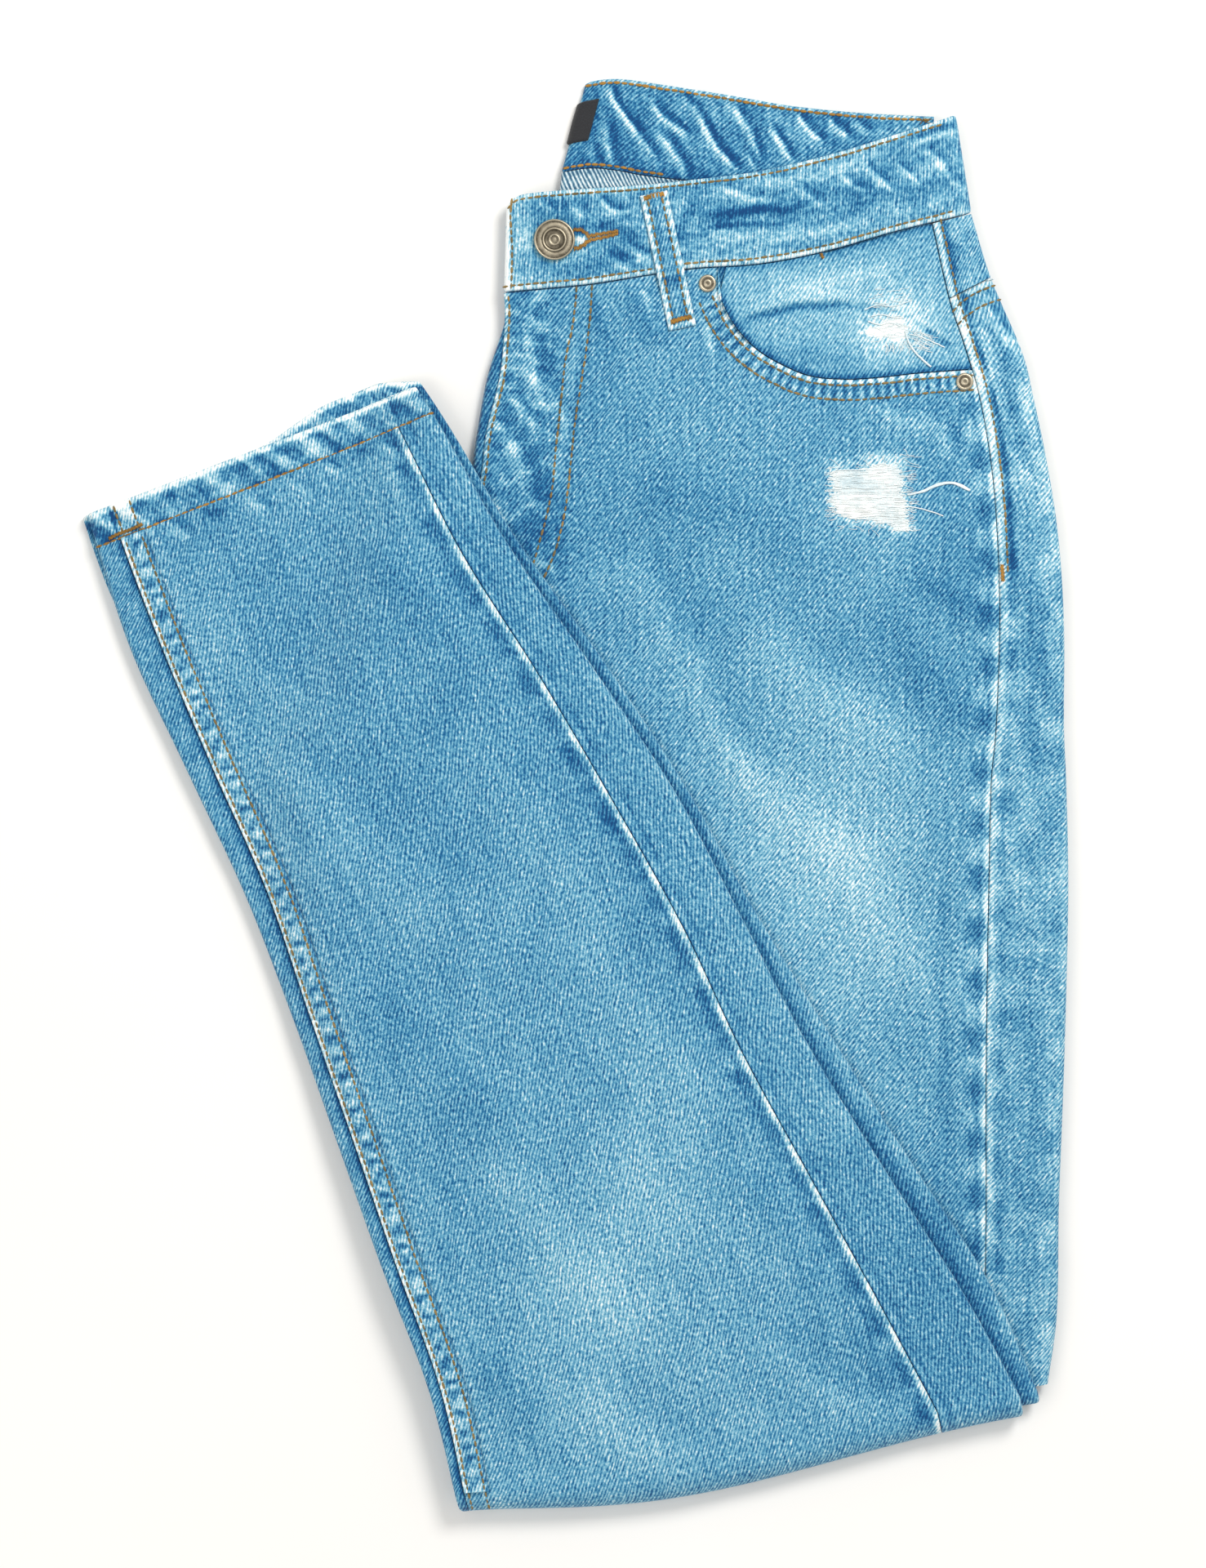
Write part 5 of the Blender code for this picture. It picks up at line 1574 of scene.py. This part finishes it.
def stitchTree():
    # Short stitches along each line, their ends sunk in the cloth
    g = Growth("stitches", {"Spacing": "Float", "Size": "Vector", "Jitter": "Float",
                            "Seed": "Int", "Material": "Material"})
    curve = g.node("GeometryNodeMeshToCurve", None, {"Mesh": g.start["Geometry"]})
    curve = g.node("GeometryNodeResampleCurve", {"mode": "LENGTH"},
                   {"Curve": curve, "Length": g.start["Spacing"]})
    tangent = g.node("GeometryNodeInputTangent")
    aligned = g.node("FunctionNodeAlignRotationToVector", {"axis": "X"}, {"Vector": tangent})
    least = g.node("ShaderNodeVectorMath", {"operation": "MULTIPLY"},
                   {0: g.start["Jitter"], 1: (-1.0, -1.0, -0.2)})
    most = g.node("ShaderNodeVectorMath", {"operation": "MULTIPLY"},
                  {0: g.start["Jitter"], 1: (1.0, 1.0, 0.2)})
    push = g.node("FunctionNodeRandomValue", {"data_type": "FLOAT_VECTOR"},
                  {"Min": least, "Max": most, "Seed": g.start["Seed"]})
    curve = g.node("GeometryNodeSetPosition", None, {"Geometry": curve, "Offset": push})
    bead = g.node("GeometryNodeMeshUVSphere", None, {"Segments": 7, "Rings": 5, "Radius": 0.5})
    swell = g.node("FunctionNodeRandomValue", {"data_type": "FLOAT"},
                   {2: 0.82, 3: 1.12, "Seed": g.start["Seed"]}, 1)
    size = g.node("ShaderNodeVectorMath", {"operation": "SCALE"},
                  {0: g.start["Size"], "Scale": swell})
    placed = g.node("GeometryNodeInstanceOnPoints", None,
                    {"Points": curve, "Instance": bead, "Rotation": aligned, "Scale": size})
    g.close(placed)
    return g.tree


def yarnTree():
    # A round yarn along each line, wandering a little
    g = Growth("yarns", {"Step": "Float", "Radius": "Float", "Wander": "Float",
                         "Seed": "Float", "Material": "Material"})
    curve = g.node("GeometryNodeMeshToCurve", None, {"Mesh": g.start["Geometry"]})
    curve = g.node("GeometryNodeResampleCurve", {"mode": "LENGTH"},
                   {"Curve": curve, "Length": g.start["Step"]})
    place = g.node("GeometryNodeInputPosition")
    noise = g.node("ShaderNodeTexNoise", {"noise_dimensions": "4D"},
                   {"Vector": place, "W": g.start["Seed"], "Scale": 420.0, "Detail": 1.0}, 1)
    middle = g.node("ShaderNodeVectorMath", {"operation": "SUBTRACT"},
                    {0: noise, 1: (0.5, 0.5, 0.5)})
    push = g.node("ShaderNodeVectorMath", {"operation": "SCALE"},
                  {0: middle, "Scale": g.start["Wander"]})
    curve = g.node("GeometryNodeSetPosition", None, {"Geometry": curve, "Offset": push})
    ring = g.node("GeometryNodeCurvePrimitiveCircle", None,
                  {"Resolution": 5, "Radius": g.start["Radius"]})
    tube = g.node("GeometryNodeCurveToMesh", None,
                  {"Curve": curve, "Profile Curve": ring, "Fill Caps": True})
    g.close(tube)
    return g.tree


def grow(name, tree, lines, **values):
    # Lines in the tables' millimetres, grown to a plain mesh
    points, edges = [], []
    for line in lines:
        start = len(points)
        points += ((np.asarray(line) - centre) * mm).tolist()
        edges += [(start + k, start + k + 1) for k in range(len(line) - 1)]
    mesh = bpy.data.meshes.new(name + "_lines")
    mesh.from_pydata(points, edges, [])
    thing = bpy.data.objects.new(name, mesh)
    bpy.context.scene.collection.objects.link(thing)
    modifier = thing.modifiers.new("growth", "NODES")
    modifier.node_group = tree
    for socket in tree.interface.items_tree:
        if socket.in_out == "INPUT" and socket.name in values:
            modifier[socket.identifier] = values[socket.name]
    graph = bpy.context.evaluated_depsgraph_get()
    made = bpy.data.meshes.new_from_object(thing.evaluated_get(graph))
    thing.modifiers.clear()
    thing.data = made
    made.shade_smooth()
    made.name = name
    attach(thing, "root")
    return thing


class Surface:
    # The cloth's upper faces, to lay lines on
    def __init__(self, things):
        points, faces = [], []
        for thing in things:
            start = len(points)
            points += [vertex.co for vertex in thing.data.vertices]
            faces += [[start + k for k in face.vertices] for face in thing.data.polygons]
        self.tree = BVHTree.FromPolygons(points, faces)

    def lay(self, line, rise):
        laid = []
        for x, y in np.asarray(line)[:, :2]:
            start = Vector(((x - centre[0]) * mm, (y - centre[1]) * mm, 0.05))
            place = self.tree.ray_cast(start, Vector((0, 0, -1)))[0]
            if place:
                laid.append((x, y, place.z / mm + rise))
        laid = np.array(laid).reshape(-1, 3)
        if len(laid) > 6:
            kept = laid[:, 2].copy()
            laid[1:-1, 2] = (kept[:-2] + kept[1:-1] + kept[2:]) / 3
        return laid


def legLine(offset, first):
    # A line down the folded leg, in from its inseam
    stations = np.linspace(first, 1.0, 220)
    x, y = legPlace(stations, legValue("inseamIn", stations) + cloth["gap"] + offset)
    return np.stack((x, y), axis=1)


def hemLine(depth, start, end, count):
    station = depth / legSizes["length"]
    across = np.linspace(start, float(legWidth(np.array([station]))[0]) + end, count)
    x, y = legPlace(np.full(count, station), across)
    return np.stack((x, y), axis=1)


def zigzag(line, wide, pitch):
    # Satin stitches across a line
    count = int(lineLength(line) / pitch)
    points = resample(line, np.linspace(0, 1, count))
    uneven = 1 + 0.22 * np.sin(np.arange(count) * 2.4) + 0.12 * np.sin(np.arange(count) * 5.1)
    side = (np.where(np.arange(count) % 2, 0.5, -0.5) * uneven)[:, None] * wide
    return points + sideways(points) * side


def loopLine(across, first, last):
    top, end = np.array(loopSizes["top"]), np.array(loopSizes["end"])
    down = unit(end - top)
    side = np.array((-down[1], down[0]))
    runs = np.linspace(first, last, 60)[:, None]
    return top + down * runs + side * across


stitching, yarns = stitchTree(), yarnTree()
topstitch = {"rise": 0.1, "spacing": 3.15, "size": (3.05, 1.05, 0.8), "jitter": 0.10}
hemStitch = {**topstitch, "rise": 0.2, "size": (3.2, 1.2, 0.85)}
bandStitch = {**topstitch, "rise": 0.12, "spacing": 3.0, "size": (3.2, 1.3, 0.9)}

# Yarns: step along the line, radius and wander in millimetres, seed, thread
yarnLooks = {
    "bar_tacks": (0.5, 0.2, 0.25, 1.0, orange), "buttonhole": (0.4, 0.21, 0.3, 2.0, orange),
    "thread_ends": (0.6, 0.16, 0.3, 6.0, tan), "rip_weft": (1.1, 0.2, 0.7, 9.0, whiteYarn),
    "fray": (0.8, 0.1, 0.8, 11.0, whiteYarn), "loose_yarn": (0.9, 0.42, 0.5, 12.0, whiteYarn),
    "loose_fibres": (0.9, 0.26, 0.5, 13.0, whiteYarn),
}

# Satin stitches in pixels of the photograph, each line with its width in millimetres
barTacks = (
    (((789, 243), (800, 239), (813, 237)), 2.0), (((822, 394), (834, 390), (847, 387)), 2.0),
    (((132, 659), (144, 653), (158, 648), (173, 641)), 1.5),
    (((1228, 691), (1228.6, 700), (1229, 711)), 1.7),
    (((1006, 309), (1007, 312), (1009, 315)), 1.4),
)
buttonhole = (
    (((702, 281), (710, 280), (716, 283), (722, 290)), 1.7),
    (((703, 304), (710, 302), (716, 298), (722, 293)), 1.9),
    (((722, 288), (738, 285), (757, 282)), 1.5), (((722, 293), (738, 290), (757, 285)), 1.5),
)
threadEnds = (
    ((1128, 150), (1134, 140), (1142, 134), (1146, 139)), ((1134, 148), (1139, 143), (1146, 146)),
    ((1126, 142), (1133, 146), (1144, 150)),
)


def stitch(name, surface, lines, look, seed, finish):
    grow(name, stitching, [surface.lay(line, look["rise"]) for line in lines],
         Spacing=look["spacing"] * mm, Size=tuple(part * mm for part in look["size"]),
         Jitter=look["jitter"] * mm, Seed=seed, Material=finish)


def spin(name, laid):
    step, radius, wander, seed, finish = yarnLooks[name]
    grow(name, yarns, laid, Step=step * mm, Radius=radius * mm, Wander=wander * mm,
         Seed=seed, Material=finish)


def sewing(cover, onBody, onBand, onBack):
    # Topstitching in tan thread, brighter where it is least worn
    seam = bodySeam[bodySeam[:, 1] > 95.0]
    flyEdge = bodyLeft[(bodyLeft[:, 1] > 100) & (bodyLeft[:, 1] < 208)]
    waist = [bandLine(frontBand, 0.05, 0.05, 0.97), bandLine(frontBand, 0.945, 0.02, 0.97),
             pixels((627, 240), (625, 262), (627, 300), (626, 349))]
    onPanels = [
        shiftedLine(flyEdge, seamRows["fly"]), flySeamA, flySeamB,
        mouthLine(seamRows["mouth"]), mouthLine(seamRows["mouthInner"]),
        shiftedLine(seam, seamRows["outseam"]),
        pixels((1170, 378), (1181, 367), (1195, 358), (1217, 349)),
        pixels((1174, 396), (1187, 384), (1203, 374), (1224, 366)),
    ]
    rows = [legLine(seamRows[key], 0.004) for key in ("nearFell", "farFell")]
    rows += [loopLine(across, 4.0, 54.0) for across in (seamRows["loop"], -seamRows["loop"])]
    bright = [bandLine(backBand, 0.045, 0.03, 0.985), bandLine(backBand, 0.965, 0.02, 0.46)]
    stitch("topstitching", cover, rows, topstitch, 3, tan)
    stitch("panel_stitching", onBody, onPanels, topstitch, 8, tan)
    stitch("waist_stitching", onBand, waist, topstitch, 7, tan)
    stitch("hem_stitching", cover, [hemLine(seamRows["hem"], 1.0, -1.0, 180)], hemStitch, 5,
           orange)
    stitch("band_stitching", onBack, bright, bandStitch, 4, orange)
    tacks = [cover.lay(zigzag(pixels(*line), wide, 0.17), 0.35) for line, wide in barTacks]
    spin("bar_tacks", tacks)
    purls = [cover.lay(zigzag(pixels(*line), wide, 0.3), 0.3) for line, wide in buttonhole]
    spin("buttonhole", purls)
    spin("thread_ends", [cover.lay(pixels(*line), 0.4) for line in threadEnds])


# Worn-through places. Bursts of loose ends: how many, then for each kind the ranges of
# x, y and reach in both directions, in pixels of the photograph.
bursts = (
    (40, ((1010, 1020), (572, 640), (5, 16), (-2, 2)),
     ((1104, 1116), (575, 652), (6, 13), (-2, 3))),
    (26, ((1016, 1108), (562, 580), (-12, 12), (-9, 3)),
     ((1024, 1110), (632, 650), (-11, 11), (-2, 9))),
    (14, ((1096, 1112), (553, 596), (-8, 20), (-6, 8))),
    (34, ((1072, 1108), (352, 392), (-20, 18), (-5, 5)),
     ((1062, 1112), (396, 414), (-18, 24), (-5, 5))),
    (24, ((1078, 1114), (414, 424), (-6, 4), (4, 15)),
     ((1112, 1134), (404, 426), (6, 20), (2, 9))),
)
tails = (
    ((1112, 605), (1120, 604), (1136, 598), (1150, 592), (1165, 590), (1178, 593), (1189, 600)),
    ((1115, 605), (1132, 601), (1150, 593.6), (1168, 591), (1180, 596), (1188, 600)),
    ((1110, 404), (1112, 414), (1118, 425), (1127, 436), (1141, 448)),
)
fibres = (
    ((1112, 619), (1122, 621), (1135, 624), (1156, 631)),
    ((1068, 386), (1080, 384), (1092, 387), (1108, 388)),
    ((1064, 392), (1078, 396), (1092, 394), (1104, 398)),
    ((1114, 408), (1124, 410), (1140, 416), (1158, 424)),
    ((1060, 378), (1076, 372), (1092, 374), (1118, 366)),
)


def weftLines(draw, piece):
    lines = []
    left, low = ripOutline.min(axis=0)
    right, high = ripOutline.max(axis=0)
    across = np.linspace(left - 1, right + 1, piece["samples"])
    heights = np.linspace(low, high, piece["wefts"])
    for y in heights + draw.uniform(-0.12, 0.12, piece["wefts"]):
        inside = insideOf(across, np.full(len(across), y), ripOutline) > -0.3
        if inside.sum() < 6:
            continue
        start, end = across[inside].min(), across[inside].max()
        start, end = start - draw.uniform(-1.8, 2.4), end + draw.uniform(-1.6, 1.8)
        bow = draw.uniform(-0.8, 0.8)
        shares = np.linspace(0, 1, 40)
        wander = 0.18 * np.sin(shares * draw.uniform(4, 12) + draw.uniform(0, 6))
        lines.append(np.stack((start + (end - start) * shares,
                               y + bow * np.sin(math.pi * shares) + wander), axis=1))
    return lines


def hairLines(draw):
    lines = []
    for count, *kinds in bursts:
        for kind in kinds * count:
            x, y, reachX, reachY = [draw.uniform(*ends) for ends in kind]
            bendX, bendY = draw.uniform(-2, 2, 2)
            lines.append(pixels((x, y), (x + reachX * 0.5 + bendX, y + reachY * 0.5 + bendY),
                                (x + reachX, y + reachY)))
    return lines


def frayed(cover):
    # White weft still runs across the rip, with loose ends at its sides
    piece = {"wefts": 118, "samples": 120, "seed": 19}
    draw = np.random.default_rng(piece["seed"])
    wefts = [cover.lay(line, 0.1 + 0.3 * draw.random()) for line in weftLines(draw, piece)]
    spin("rip_weft", wefts)
    spin("fray", [cover.lay(line, 0.25) for line in hairLines(draw)])
    spin("loose_yarn", [cover.lay(pixels(*line), 0.5) for line in tails])
    spin("loose_fibres", [cover.lay(pixels(*line), 0.4) for line in fibres])


# Build the pieces


def declare(thing, nodes):
    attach(thing, "root")
    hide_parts(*nodes)


def clothPieces():
    hidden = hiddenLayers()
    hidden["cut"] = (300.0, 560.0, 150000.0)
    front = leftFront()
    facing = pocketFacing()
    yoke = sideStrip("back_yoke_strip", 0.0, 0.0765, denimBack, 0.0, yokeWearAndShade)
    back = sideStrip("left_back_strip", 0.077, 1.0, denimBack, cloth["gap"], sideWearAndShade)
    waist = waistbandFront()
    inside, yokeInside = backBandPieces()
    label = wovenLabel()
    loop = beltLoop()
    print("body pieces made")
    first = (legSizes["hemDepth"] + 0.04) / legSizes["length"]
    stations, turns = legRows(first, 2.3)
    lower = leftLeg(stations, turns)
    backLeg = legBack(stations, turns)
    frontLeg = legFront(stations, turns)
    fell = inseamFell(stations[np.isnan(turns)])
    upperHem = hem("right_leg_hem_turned", lambda s: 0 * s, legWidth, upperLeg, cloth["hem"], 131)
    lowerHem = hem("left_leg_hem_turned", lambda s: lowerSides(s)[0],
                   lambda s: lowerSides(s)[1], lowerLeg, cloth["hem"], 141)
    print("leg pieces made")
    declare(hidden, ["hidden_body_layers"])
    declare(front, ["left_front"])
    declare(facing, ["pocket_facing"])
    declare(yoke, ["back_yoke"])
    declare(back, ["left_back"])
    declare(waist, ["front_waistband"])
    declare(inside, ["back_waistband"])
    declare(yokeInside, ["yoke_inside"])
    declare(label, ["woven_label"])
    declare(loop, ["belt_loop"])
    declare(lower, ["left_leg_folded"])
    declare(backLeg, ["right_leg_back"])
    declare(frontLeg, ["right_leg_front"])
    declare(fell, ["right_inseam_fell"])
    declare(upperHem, ["right_leg_hem"])
    declare(lowerHem, ["left_leg_hem"])
    return {"front": front, "facing": facing, "yoke": yoke, "back": back, "waist": waist,
            "inside": inside, "yokeInside": yokeInside, "loop": loop, "lower": lower,
            "backLeg": backLeg, "frontLeg": frontLeg, "fell": fell, "upperHem": upperHem,
            "lowerHem": lowerHem}


def metalPieces():
    for thing, node in ((waistButton(), "waist_button"),
                        (rivet("rivet_upper_metal", metal["upper"]), "pocket_rivet_upper"),
                        (rivet("rivet_side_metal", metal["side"]), "pocket_rivet_side")):
        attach(thing, "root")
        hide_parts(node)


def table():
    g = Graph("pale_table")
    place = g.node("ShaderNodeTexCoord")["Object"]
    cloud = g.noise(place, scale=3.0, detail=3.0)
    grain = g.noise(place, scale=900.0, detail=2.0)
    share = (cloud * 0.5 + 0.5).step(0.0, 1.0)
    finish = g.finish(Base_Color=g.mix(share, linear((245, 243, 239)), linear((249, 248, 246))),
                      Roughness=0.75, Specular_IOR_Level=0.2,
                      Normal=g.bump(grain, 0.1, 0.05))
    mesh = bpy.data.meshes.new("table")
    half = 2.2
    mesh.from_pydata([(-half, -half, 0), (half, -half, 0), (half, half, 0), (-half, half, 0)],
                     [], [(0, 1, 2, 3)])
    mesh.materials.append(finish)
    floor = bpy.data.objects.new("floor", mesh)
    bpy.context.scene.collection.objects.link(floor)
    return floor


def aim(thing, place, target):
    thing.location = place
    thing.rotation_euler = (Vector(target) - Vector(place)).to_track_quat("-Z", "Y").to_euler()
    bpy.context.scene.collection.objects.link(thing)


def areaLight(name, place, target, size, power, colour):
    lamp = bpy.data.lights.new(name, "AREA")
    lamp.shape = "DISK"
    lamp.size = size
    lamp.energy = power
    lamp.color = colour
    aim(bpy.data.objects.new(name, lamp), place, target)


def lights():
    lamps = {"key": ((0.75, 0.95, 1.5), 0.7, 21.0, (1.0, 0.985, 0.96)),
             "fill": ((-1.1, -0.5, 1.7), 1.4, 9.0, (1.0, 0.99, 0.975))}
    for name, (place, size, power, colour) in lamps.items():
        areaLight(name, place, (0, 0, 0), size, power, colour)
    world = bpy.data.worlds.new("studio")
    world.use_nodes = True
    world.node_tree.nodes["Background"].inputs["Color"].default_value = (1.0, 0.99, 0.975, 1)
    world.node_tree.nodes["Background"].inputs["Strength"].default_value = 0.62
    bpy.context.scene.world = world


def camera():
    # Straight down, as the photograph was taken
    view = {"x": 0.0118, "y": 0.0041, "height": 2.0, "lens": 109.6}
    lens = bpy.data.cameras.new("camera")
    lens.sensor_width = 36.0
    lens.lens = view["lens"]
    eye = bpy.data.objects.new("camera", lens)
    eye.location = (view["x"], view["y"], view["height"])
    bpy.context.scene.collection.objects.link(eye)
    bpy.context.scene.camera = eye
    bpy.context.scene.view_settings.view_transform = "Standard"


floor = table()
made = clothPieces()
cover = Surface(list(made.values()))
onBody = Surface([made[key] for key in ("front", "facing", "yoke", "back")])
sewing(cover, onBody, Surface([made["waist"]]), Surface([made["inside"]]))
frayed(cover)
print("threads made")
metalPieces()
lights()
camera()
print("scene made")
